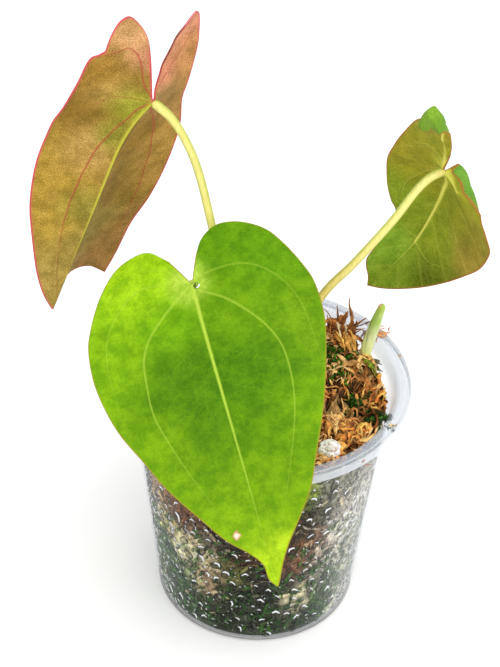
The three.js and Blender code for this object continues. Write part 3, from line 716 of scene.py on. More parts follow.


# Bits of moss pressed against the wall: flat strands that wander over it, coloured by their patch. The
# first are short steep leaflets of living moss, and the last are painted glints at both sides: thin white
# lines that stand in for light caught by the water there.
def addWallStrands(settings):
    random = np.random.default_rng(settings["seed"])
    count, stations = settings["count"], settings["stations"]
    spread = np.linspace(-0.5, 0.5, stations)
    low, high = settings["width"]
    turn = random.uniform(-np.pi, np.pi, count)
    height = 4 + 91 * random.random(count)
    length = random.uniform(*settings["length"], count) * random.uniform(0.5, 1, count)
    heading = random.uniform(0, np.pi, count)
    bow = random.uniform(-0.9, 0.9, count)

    living = np.arange(count) < settings["leaflets"]
    height = np.where(living, 4 + 55 * random.random(count) ** 1.5, height)
    patch = np.radians(np.where(random.random(count) < 0.5, -48, 40)) + random.normal(0, 0.42, count)
    turn = np.where(living & (random.random(count) < 0.62), patch, turn)
    length = np.where(living, random.uniform(2.8, 6.6, count), length)
    heading = np.where(living, random.normal(1.0, 0.4, count), heading)
    bow = np.where(living, bow * 0.4, bow)

    glint = np.arange(count) >= count - settings["glints"]
    beside = np.radians(np.where(random.random(count) < 0.6, -64, 66)) + random.normal(0, 0.22, count)
    turn = np.where(glint & (random.random(count) < 0.8), beside, turn)
    length = np.where(glint, random.uniform(1.2, 4.2, count), length)
    heading = np.where(glint, random.normal(1.9, 0.6, count), heading)
    bow = np.where(glint, bow * 1.6, bow)

    base = wallColour(turn, height)
    turn, height, length, heading, bow, living, glint = (
        value[:, None] for value in (turn, height, length, heading, bow, living, glint))
    bend = heading + bow * spread * 2
    step = length / stations
    across = np.cumsum(np.cos(bend), 1) * step
    z = np.clip(height + np.cumsum(np.sin(bend), 1) * step, 3.2, 95.5)
    sink = np.where(living, 0.8, random.uniform(0.85, 1.5, (count, 1)))
    sink = np.where(glint, 0.45, sink) + 0.25 * np.sin(spread * 9 + heading)
    at = turn + across / wallRadius
    paths, outward = around(innerRadius(z) - sink, at, z), around(1, at, 0)
    width = low + (high - low) * random.random((count, 1)) ** 2
    width = width * (0.35 + 0.9 * np.cos(spread * 2.6) ** 0.7)
    slender = random.uniform(0.55, 1.15, (count, 1)) * np.cos(spread * 2.9) ** 0.9
    width = np.where(living, slender, width)
    width = np.where(glint, 0.16 * np.cos(spread * 2.9) ** 0.5, width)
    points, faces, each = strandArrays(paths, width, np.where(glint, 0.1, 0.22 + 0 * width), outward)

    shade = np.exp(random.normal(0.36, 0.42, (count, 1)))
    pale = (random.random(count) < 0.04 + 0.3 * base.max(1))[:, None]
    base = np.where(pale, np.array(mossTones["cream"]) * 0.55 + base * 0.7, base * shade)
    leafy = np.array(settings["living"]) * random.uniform(0.5, 1.7, (count, 1)) + base * 0.12
    # The glints are painted plain white as highlights
    base = np.where(glint, 1.0, np.where(living, leafy, base))
    mesh = meshOf("wallMoss", points, faces, np.repeat(base, each, 0))
    addPiece("wallMoss", mesh, mossMaterial("wallMoss"))
    print("wall strands", count)


flakeSettings = {"count": 2200, "length": (4, 14), "width": (0.25, 1.3), "stations": 7, "sides": 5,
                 "seed": 14, "brightest": (0.95, 0.62, 0.27)}


# Curled bits of dead moss on top. Each runs in a bent line over the clumps, arches and twists. It is
# painted brighter and paler the higher it stands, as light on the tops, and darker in the hollows between
# the clumps, as painted shade.
def addFlakes(settings):
    random = np.random.default_rng(settings["seed"])
    count, stations, sides = settings["count"], settings["stations"], settings["sides"]
    low, high = settings["width"]
    spread = np.linspace(-0.5, 0.5, stations)
    turn = random.uniform(-np.pi, np.pi, count)
    edge = innerRadius(level) - 2
    r = edge * np.sqrt(random.random(count))
    r = np.where(random.random(count) < 0.16, edge - 5 * random.random(count), r)
    x, y = r * np.cos(turn), r * np.sin(turn)
    clump = np.stack([x, y, 0 * x], -1)
    heading = np.pi * fuzz(clump, 11.0, 51) * 1.4 + random.normal(0, 0.7, count)
    length = random.uniform(*settings["length"], count)
    bow = random.normal(0, 1.0, count)
    bend = heading[:, None] + bow[:, None] * spread * 2.2
    px = x[:, None] + np.cumsum(np.cos(bend), 1) * length[:, None] / stations
    py = y[:, None] + np.cumsum(np.sin(bend), 1) * length[:, None] / stations
    away = np.hypot(px, py)
    limit = innerRadius(level) - 1.6
    px, py = px * np.minimum(1, limit / away), py * np.minimum(1, limit / away)
    arch = random.uniform(0.2, 2.6, (count, 1)) * np.cos(spread * np.pi)
    arch = arch + random.normal(0, 0.9, (count, 1)) * spread
    lift = random.uniform(-0.9, 1.9, (count, 1)) + arch
    wave = 0.5 * np.sin(spread * random.uniform(5, 14, (count, 1)) + random.uniform(0, 6, (count, 1)))
    ground = mossTop(px, py)
    paths = np.stack([px, py, ground * 0.6 + mossTop(x, y)[:, None] * 0.4 + lift + wave], -1)
    roll = random.normal(0, 0.8, (count, 1)) + random.normal(0, 1.2, (count, 1)) * spread
    side = np.stack([-np.sin(bend), np.cos(bend), 0 * bend], -1)
    facing = np.cos(roll)[..., None] * np.array([0, 0, 1.0]) + np.sin(roll)[..., None] * side
    broad = (low + (high - low) * random.random((count, 1)) ** 1.6)
    ragged = np.sin(spread * random.uniform(8, 26, (count, 1)) + random.uniform(0, 6, (count, 1)))
    ragged = 1 + 0.35 * ragged
    width = broad * (0.15 + np.cos(spread * 2.9) ** 0.8) * ragged
    points, faces, each = strandArrays(paths, width, 0.16 + 0.12 * width, facing, sides)
    # Painted light and shade: a flake is dark close to the ground and bright where it stands high
    raised = np.clip((paths[..., 2] - ground) / 3, 0, 1)[..., None]
    tint = topColour(x, y, -0.1)[:, None] * np.ones((1, stations, 1)) * (0.07 + 2.75 * raised ** 1.5)
    tint = tint * np.exp(random.normal(0.08, 0.5, (count, 1, 1))) * np.array([1.18, 0.94, 0.74])
    pale = smooth((random.random((count, 1)) - 0.72) / 0.25)[..., None] * 0.6 * raised
    tint = between(tint, np.array(mossTones["tan"]) * 1.1, pale)
    flat = np.stack([px, py, 0 * px], -1)
    # Painted shade in the hollows between the clumps
    clump = smooth(0.66 + 0.7 * fuzz(flat, 7.5, 3) + 0.8 * fuzz(flat, 3.6, 4))[..., None]
    tint = np.minimum(tint * (0.3 + 0.95 * clump), settings["brightest"])
    colours = np.concatenate([tint[:, :1], np.repeat(tint, sides, 1), tint[:, -1:]], 1).reshape(-1, 3)
    mesh = meshOf("mossFlakes", points, faces, colours)
    addPiece("mossFlakes", mesh, mossMaterial("mossFlakes", 0.65))
    print("flakes", count, each)


# Each shard: foot, point and radius. Each ribbon: start, end, radius, tone and height of its arch. Each
# group of crumbs: place, count, reach and colour.
heapSettings = {
    "shards": [([33, 31, 98], [34.8, 30, 124], 2.2), ([34.5, 29, 99], [41, 28.5, 115.5], 2.1),
               ([30.5, 31.5, 97], [32.5, 29.5, 118], 1.8), ([28, 33, 97], [25.5, 36, 110.5], 1.9),
               ([36, 31, 99], [37.5, 33, 111], 1.5), ([31, 35, 97], [29.5, 38, 113], 1.7)],
    "curls": {"count": 42, "middle": (30, 34.5, 102), "strewn": (4.2, 3.6, 2.6), "length": (6, 13),
              "width": (0.5, 1.35), "dark": (0.07, 0.022, 0.007), "light": (0.62, 0.25, 0.07)},
    "ribbons": [([30.5, 35], [36, 22.3], 1.1, "gold", 7.5), ([31.5, 33.5], [36.5, 23.5], 0.9, "gold", 8.0),
                ([29, 34], [34.5, 22.5], 0.9, "gold", 6.5), ([30.5, 36], [33.5, 27.5], 0.8, "cream", 8.5),
                ([26.5, 31], [31, 22], 0.7, "straw", 2.4), ([30.7, 0.5], [29.3, -20.8], 1.5, "tan", 2.6),
                ([27, 3.5], [33.5, -17], 1.0, "tan", 2.2), ([34, -15], [29.5, -29], 1.2, "orange", 2.4),
                ([44, 11], [47.5, -5], 1.1, "orange", 2.2), ([38, 12], [45, 3], 1.2, "orange", 3.0),
                ([47, 9], [41, -3], 0.9, "tan", 2.2), ([40, 25], [46, 18.5], 0.9, "olive", 2.6),
                ([38.5, 21], [47, 22.5], 1.0, "olive", 2.4), ([36, 23], [42, 16], 1.0, "olive", 3.0),
                ([39, 18], [45, 15], 1.1, "lime", 1.8), ([24, -8], [27, 8], 1.1, "red", 2.4),
                ([31, -24], [37, -16], 1.2, "red", 2.6), ([26, 12], [24, -2], 0.9, "tan", 2.4),
                ([36, 16], [42, 9], 1.1, "tan", 1.8), ([41.5, 16.5], [37, 8], 1.0, "orange", 2.0)],
    "crumbs": [((46.4, 28.8, 106.9), 36, 4.6, (0.80, 0.40, 0.16)),
               ((54.4, 16, 106.1), 2, 1.0, (0.80, 0.45, 0.16)),
               ((50.1, -26.6, 106.6), 5, 1.4, (0.86, 0.72, 0.40)),
               ((39.5, -47.6, 105.9), 3, 1.6, (0.62, 0.34, 0.30))],
    "seed": 23,
}


# Dark jagged shards that stand up out of the heap: each tapers along a bent line, with barbs along it
def shardArrays(settings, random, spread):
    paths, widths = [], []
    for foot, point, radius in settings["shards"]:
        foot, point = np.array(foot, float), np.array(point, float)
        bend = np.sin(spread * np.pi)[:, None] * np.append(random.normal(0, 1.3, 2), 0)
        curl = np.sin(spread * 8 + random.uniform(0, 6))[:, None] * np.append(random.normal(0, 0.55, 2), 0)
        paths.append(foot + (point - foot) * spread[:, None] + bend + curl * spread[:, None])
        barbs = np.mod(spread * 4.6 + radius * 3, 1) * 0.55 + np.mod(spread * 8.3, 1) * 0.25
        widths.append(radius * ((1 - spread) ** 0.55 * 0.9 + 0.03) * (0.55 + barbs))
    paths, widths = np.array(paths), np.array(widths)
    twist = random.uniform(-0.7, 0.7, (len(paths), 1)) + spread * 1.6
    facing = np.stack([np.sin(twist), -np.cos(twist), 0.3 + 0 * twist], -1)
    return strandArrays(paths, widths, 0.22 * widths + 0.12, facing, sides=8)


# Curls of torn leaf round the shards' feet. A curl's heading turns steadily in a plane of its own.
def curlArrays(curls, random, spread):
    count = curls["count"]
    foot = np.array(curls["middle"]) + random.normal(0, 1, (count, 3)) * np.array(curls["strewn"])
    foot[:, 2] = np.maximum(foot[:, 2], mossTop(foot[:, 0], foot[:, 1]) + 1)
    first = unit(random.normal(0, 1, (count, 3)) + np.array([0, 0, 0.6]))
    second = unit(np.cross(first, random.normal(0, 1, (count, 3))))
    turn = (random.uniform(-3.6, 3.6, (count, 1)) * spread)[..., None]
    heading = np.cos(turn) * first[:, None] + np.sin(turn) * second[:, None]
    length = random.uniform(*curls["length"], (count, 1, 1))
    paths = foot[:, None] + np.cumsum(heading, 1) * length / len(spread)
    floor = mossTop(paths[..., 0], paths[..., 1]) - 0.5
    paths[..., 2] = floor + np.abs(paths[..., 2] - floor)
    broad = random.uniform(*curls["width"], (count, 1)) * np.sin(np.pi * (0.06 + 0.9 * spread)) ** 0.6
    broad = broad * (0.75 + 0.5 * np.mod(spread * 5 + random.random((count, 1)), 1))
    facing = -np.sin(turn) * first[:, None] + np.cos(turn) * second[:, None]
    return strandArrays(paths, broad, 0.12 * broad + 0.1, facing, sides=6)


# The shards and the curls in one piece, with a grain of dark and light that runs upwards
def addShards(settings):
    random = np.random.default_rng(settings["seed"])
    spread, curls = np.linspace(0, 1, 20), settings["curls"]
    upright, uprightFaces, _ = shardArrays(settings, random, spread)
    curled, curledFaces, each = curlArrays(curls, random, spread)
    points, faces = joined([(upright, uprightFaces), (curled, curledFaces)])
    grain = 0.5 + 0.5 * fuzz(points * np.array([1, 1, 0.4]), 0.9, 91)[:, None]
    tint = between(curls["dark"], curls["light"], grain)
    shade = np.repeat(random.uniform(0.5, 1.7, curls["count"]), each)
    shade = np.concatenate([np.full(len(upright), 0.9), shade])
    mesh = meshOf("mossShards", points, faces, tint * shade[:, None])
    addPiece("mossShards", mesh, mossMaterial("mossShards", 0.6))
    print("shards", len(settings["shards"]), "curls", curls["count"])


# Long strands that lie over the clumps and arch between their two ends, four beside each other
def addRibbons(settings):
    random = np.random.default_rng(settings["seed"] + 2)
    spread = np.linspace(0, 1, 22)
    paths, widths, tints = [], [], []
    for start, end, radius, tone, arch in settings["ribbons"]:
        start, end = np.array(start, float), np.array(end, float)
        for _ in range(4):
            a, b = start + random.normal(0, 0.9, 2), end + random.normal(0, 1.1, 2)
            aside = np.array([a[1] - b[1], b[0] - a[0]]) * 0.16 * random.normal()
            across = np.sin(spread * 6.3 + random.uniform(0, 6))[:, None] * random.normal(0, 0.35, 2)
            flat = a + (b - a) * spread[:, None] + aside * np.sin(spread * np.pi)[:, None] + across
            lift = 0.5 + (arch - 0.5) * np.sin(spread * np.pi) ** 0.7
            lift = lift * (0.65 + 0.35 * random.random())
            lift = lift + 0.35 * np.sin(spread * 13 + random.uniform(0, 6))
            low = mossTop(flat[:, 0], flat[:, 1])
            low = np.convolve(np.pad(low, 3, mode="edge"), np.ones(7) / 7, mode="valid")
            paths.append(np.concatenate([flat, (low + lift)[:, None]], 1))
            width = radius * (0.45 + 0.5 * random.random()) * np.sin(np.pi * (0.05 + 0.9 * spread)) ** 0.7
            widths.append(width * (1 + 0.25 * np.sin(spread * 21 + random.uniform(0, 6))))
            tints.append(np.array(mossTones[tone]) * random.uniform(0.65, 1.0))
    paths, widths = np.array(paths), np.array(widths)
    twist = random.normal(0, 0.5, (len(paths), 1)) + spread * random.normal(0, 1.2, (len(paths), 1))
    facing = np.stack([np.sin(twist), -0.3 + 0 * twist, np.cos(twist)], -1)
    points, faces, each = strandArrays(paths, widths, 0.16 * widths + 0.1, facing, sides=6)
    tint = np.repeat(tints, each, 0) * (1 + 0.5 * fuzz(points, 1.3, 95))[:, None]
    mesh = meshOf("mossRibbons", points, faces, tint)
    addPiece("mossRibbons", mesh, mossMaterial("mossRibbons", 0.6))
    print("ribbons", len(paths))


# Crumbs of dry moss that lie on the rim, each a short bent spindle
def addCrumbs(settings):
    random = np.random.default_rng(settings["seed"] + 1)
    spread = np.linspace(-0.5, 0.5, 6)
    paths, widths, tints = [], [], []
    for place, count, reach, colour in settings["crumbs"]:
        for _ in range(count):
            turn, length = random.uniform(0, 6.28), random.uniform(1.2, 3.4) * min(1.0, reach / 2)
            strewn = [*random.normal(0, reach * 0.42, 2), random.uniform(0.1, 0.6)]
            middle = np.array(place) + strewn
            ahead = np.array([math.cos(turn), math.sin(turn), random.normal(0, 0.25)])
            bend = (spread ** 2)[:, None] * np.append(random.normal(0, 1.5, 2), random.uniform(0, 1.5))
            paths.append(middle + ahead * length * spread[:, None] + bend)
            widths.append(random.uniform(0.3, 0.75) * (1.1 - 2 * np.abs(spread)))
            tints.append(np.array(colour) * random.uniform(0.55, 1.15) + random.uniform(0, 0.04))
    paths, widths = np.array(paths), np.array(widths)
    facing = np.tile([0, 0.2, 1.0], (*widths.shape, 1))
    points, faces, each = strandArrays(paths, widths, 0.12 + 0.2 * widths, facing, sides=5)
    mesh = meshOf("rimCrumbs", points, faces, np.repeat(tints, each, 0))
    addPiece("rimCrumbs", mesh, mossMaterial("rimCrumbs", 0.7))
    print("crumbs", len(paths))


# The leaves

# Each leaf: where its petiole meets the blade, the directions of its tip and of its upper side, and how
# it droops and sweeps in degrees a millimetre, near the attachment and farther out. Each half, -1 for the
# left and 1 for the right as seen from above, has a fold and a lift in degrees, its own droops abreast and
# at the lobe, and an outline as [out, along] that stays sharp at its corners. A roll is a radius, then
# bearings and the distances at which it starts there.
nearLength = 35
leafShapes = {
    "leaf_front": {
        "attach": [-27.5, -5, 155.5], "tipward": [0.26, -0.88, -0.39], "upward": [-0.21, -0.44, 0.87],
        "droopNear": 0.23, "droopFar": 0.18, "sweepNear": -0.02, "sweepFar": 0.02,
        "halves": {
            -1: {"fold": 2, "lift": 1, "droopSide": 0.25, "droopLobe": 0.1, "corners": [],
                 "outline": [[4, -10.5], [8, -17], [14, -20.5], [20.5, -20], [27, -17], [32.5, -12.5],
                             [37, -5.5], [41.5, 4.5], [44, 13], [44, 27.5], [41, 40.5], [34.5, 60],
                             [26.5, 77.5], [22, 87], [15.5, 96], [8.5, 104.5], [5, 109.5], [1.5, 116],
                             [0, 118.5]]},
            1: {"fold": 5, "lift": -4, "droopSide": 0.12, "droopLobe": 0.4, "corners": [],
                "outline": [[6.5, -12.5], [14.5, -20], [25.5, -17], [34, -7], [41.5, 8], [43.5, 14],
                            [44.5, 27], [43, 38.5], [40, 49.5], [34.5, 61.5], [29, 73.5], [20, 88],
                            [13.5, 97.5], [6.5, 104.5], [3, 109.5], [2.5, 115], [0, 118.5]]},
        },
        "petiole": [[0, -3.3, 86], [-1.6, -3.2, 98], [-9, -1, 118], [-18, 2, 136], [-25, 0, 148]],
    },
    "leaf_left": {
        "attach": [-43.5, 26.5, 214.5], "tipward": [-0.56, 0.31, -0.77], "upward": [-0.40, 0.72, 0.57],
        "droopNear": 0.67, "droopFar": -0.04, "sweepNear": 0.06, "sweepFar": 0.04,
        "halves": {
            -1: {"fold": 38, "lift": 4, "droopSide": 1.08, "droopLobe": -0.2, "corners": [7, 8],
                 "outline": [[6, -8.4], [11.5, -16], [18.5, -24], [24.5, -27.5], [29.5, -28.5], [31, -25.5],
                             [30.5, -20], [28.5, -13], [30, -11], [32, -9.5], [31, 2], [28.5, 17.5],
                             [28.5, 25], [27.5, 32.5], [26.5, 45], [23.5, 63.5], [20.5, 74], [11.5, 98.5],
                             [5, 110], [0, 115.5]]},
            1: {"fold": 38, "lift": 32, "droopSide": 1.55, "droopLobe": 0.82, "corners": [13, 17],
                "outline": [[9, -14.5], [13.4, -25.6], [15.2, -31.2], [18.4, -32.3], [22.4, -30],
                            [25.8, -26], [27.8, -14.5], [25.5, 5], [31.5, 30.5], [32.5, 50.5], [31.5, 67],
                            [29, 80], [28.5, 95.5], [27.5, 106], [24.5, 104], [20, 101], [14.5, 99.5],
                            [7, 98.5], [1, 99], [3.5, 108], [2.5, 114.5], [0, 115.5]]},
        },
        "petiole": [[-2.8, 1.8, 86], [-4.6, 3.2, 100], [-15.5, 13, 143.8], [-21, 20, 164.3],
                    [-26.5, 23.5, 186.7], [-31, 25, 198.3], [-36.7, 26.2, 207.8]],
    },
    "leaf_right": {
        "attach": [65, 21, 192], "tipward": [0.26, 0.54, -0.80], "upward": [0.90, 0.17, 0.41],
        "droopNear": 1.09, "droopFar": 0.55, "sweepNear": 0.24, "sweepFar": -0.08,
        "halves": {
            -1: {"fold": -33, "lift": 12, "droopSide": 0.82, "droopLobe": 0, "corners": [],
                 "outline": [[-3.2, -12], [-4.2, -20], [-4, -27], [-3.5, -34], [-2.7, -44], [-0.5, -52],
                             [2.5, -56], [6, -52.5], [8, -44], [8, -36], [7.5, -30], [8.5, -27.5],
                             [11, -25], [14, -20], [18, -11], [22, -2], [26, 7], [28, 18], [28, 26],
                             [26, 32], [22, 37], [20, 48], [18, 61], [16, 67], [11, 72], [4, 77], [0, 81]],
                 "roll": [2.3, [0, 150, 158, 163, 167, 172, 177, 182, 187, 200],
                          [200, 40, 30, 28, 29, 35, 40, 37, 28, 27]]},
            1: {"fold": 11, "lift": 38, "droopSide": 0.23, "droopLobe": 0.25, "corners": [],
                "outline": [[6, -11], [10.5, -12], [15, -9], [20.5, -4], [25, 3], [29, 7], [32, 12],
                            [31, 21], [29, 30], [25, 40], [21, 50], [16, 61], [10, 71], [5, 77], [0, 81]],
                "roll": [2.2, [0, 78, 90, 110, 150, 180], [200, 60, 21, 13, 7, 6]]},
        },
        "petiole": [[3.1, 1.9, 86], [5, 2.6, 98], [21.5, 10, 139.4], [33.7, 12, 155], [47.3, 14, 174.1],
                    [55.3, 16, 186.7], [59.6, 18, 190.6]],
    },
}


# Carries flat points of one half to their place. A spoke from the attachment leaves at the half's fold,
# then bends down by the droops, rises by the lift behind, and rolls past the roll's start.
def bladePoints(shape, side, out, along):
    half = shape["halves"][side]
    distance = np.hypot(out, along)
    bearing = np.degrees(np.arctan2(out, along))
    bearing = np.where(bearing < -90, bearing + 360, bearing)
    behind, abreast = smooth((bearing - 80) / 70), smooth(bearing / 80)

    def droop(tip):
        beside = tip + (half["droopSide"] - tip) * abreast
        return np.where(bearing < 80, beside,
                        half["droopSide"] + (half["droopLobe"] - half["droopSide"]) * behind)

    near, far = droop(shape["droopNear"]), droop(shape["droopFar"])
    lift = half["lift"] * smooth((bearing - 70) / 80)
    radius, bearings, starts = half.get("roll", [1, [0], [1000]])
    rollStart = np.interp(bearing, bearings, starts)
    parts = 40 if "roll" in half else 14
    total = np.zeros(distance.shape + (3,))
    for k in range(parts):
        reach = distance * (k + 0.5) / parts
        nearPart = np.minimum(reach, nearLength)
        farPart = reach - nearPart
        rise = np.radians(lift - near * nearPart - far * farPart)
        rise = rise - np.clip((reach - rollStart) / radius, 0, 3.3)
        sweep = np.radians(shape["sweepNear"] * nearPart + shape["sweepFar"] * farPart)
        sweep = sweep * smooth((130 - bearing) / 60)
        total += np.stack([np.cos(rise) * np.cos(sweep), np.cos(rise) * np.sin(sweep), np.sin(rise)], -1)
    total *= (distance / parts)[..., None]
    fold, angle = math.radians(half["fold"]), np.radians(bearing)
    aside = np.sin(angle)
    spoke = np.stack([aside * side * math.cos(fold), np.cos(angle), aside * math.sin(fold)], -1)
    tilt = smooth(bearing / 50)
    face = np.stack([-side * math.sin(fold) * tilt, 0 * tilt, 1 - tilt + tilt * math.cos(fold)], -1)
    face = unit(face - np.sum(face * spoke, -1, keepdims=True) * spoke)
    across = np.cross(spoke, face)
    local = spoke * total[..., :1] + across * total[..., 1:2] + face * total[..., 2:]
    tipward = unit(np.array(shape["tipward"], float))
    upward = np.array(shape["upward"], float)
    upward = unit(upward - upward @ tipward * tipward)
    return local @ np.stack([np.cross(tipward, upward), tipward, upward]) + np.array(shape["attach"])


# The upper side's direction, from small steps out and along
def bladeNormals(shape, side, out, along, nudge=0.3):
    dOut = bladePoints(shape, side, out + nudge, along) - bladePoints(shape, side, out - nudge, along)
    dAlong = bladePoints(shape, side, out, along + nudge) - bladePoints(shape, side, out, along - nudge)
    return unit(np.cross(dOut, dAlong) * side)


# A half's outline as smooth lines between its corners
def fineOutline(half, perSpan=8):
    breaks = [0, *half["corners"], len(half["outline"]) - 1]
    runs = [smoothLine(half["outline"][a:b + 1], perSpan) for a, b in zip(breaks[:-1], breaks[1:])]
    return np.concatenate([run[:-1] for run in runs] + [runs[-1][-1:]])


# Where the 45 degree rib that leaves the midrib at a height meets the outline
def ribEnd(line, foot):
    feet = line[:, 1] - line[:, 0]
    for i in range(len(line) - 1, 0, -1):
        if feet[i - 1] <= foot <= feet[i]:
            share = (foot - feet[i - 1]) / max(feet[i] - feet[i - 1], 1e-6)
            return line[i - 1] + (line[i] - line[i - 1]) * share
    return line[0]


farReach = 9.0


# Distance to a line of points, positive on its left, over a half width that narrows from start to end
def veinReach(places, points, start, end):
    line = spaced(smoothLine(points, 6) if len(points) > 2 else np.array(points, float), 36)
    best = np.full(places.shape[:-1], 1e9)
    reach = np.full(places.shape[:-1], farReach)
    for k, (a, b) in enumerate(zip(line[:-1], line[1:])):
        run = b - a
        share = np.clip((places - a) @ run / (run @ run), 0, 1)
        gap = places - a - share[..., None] * run
        distance = np.linalg.norm(gap, axis=-1)
        turn = np.sign(run[0] * gap[..., 1] - run[1] * gap[..., 0])
        nearer = distance < best
        best = np.where(nearer, distance, best)
        width = start + (end - start) * (k + share) / (len(line) - 1)
        reach = np.where(nearer, turn * distance / width, reach)
    return np.clip(reach, -farReach, farReach)


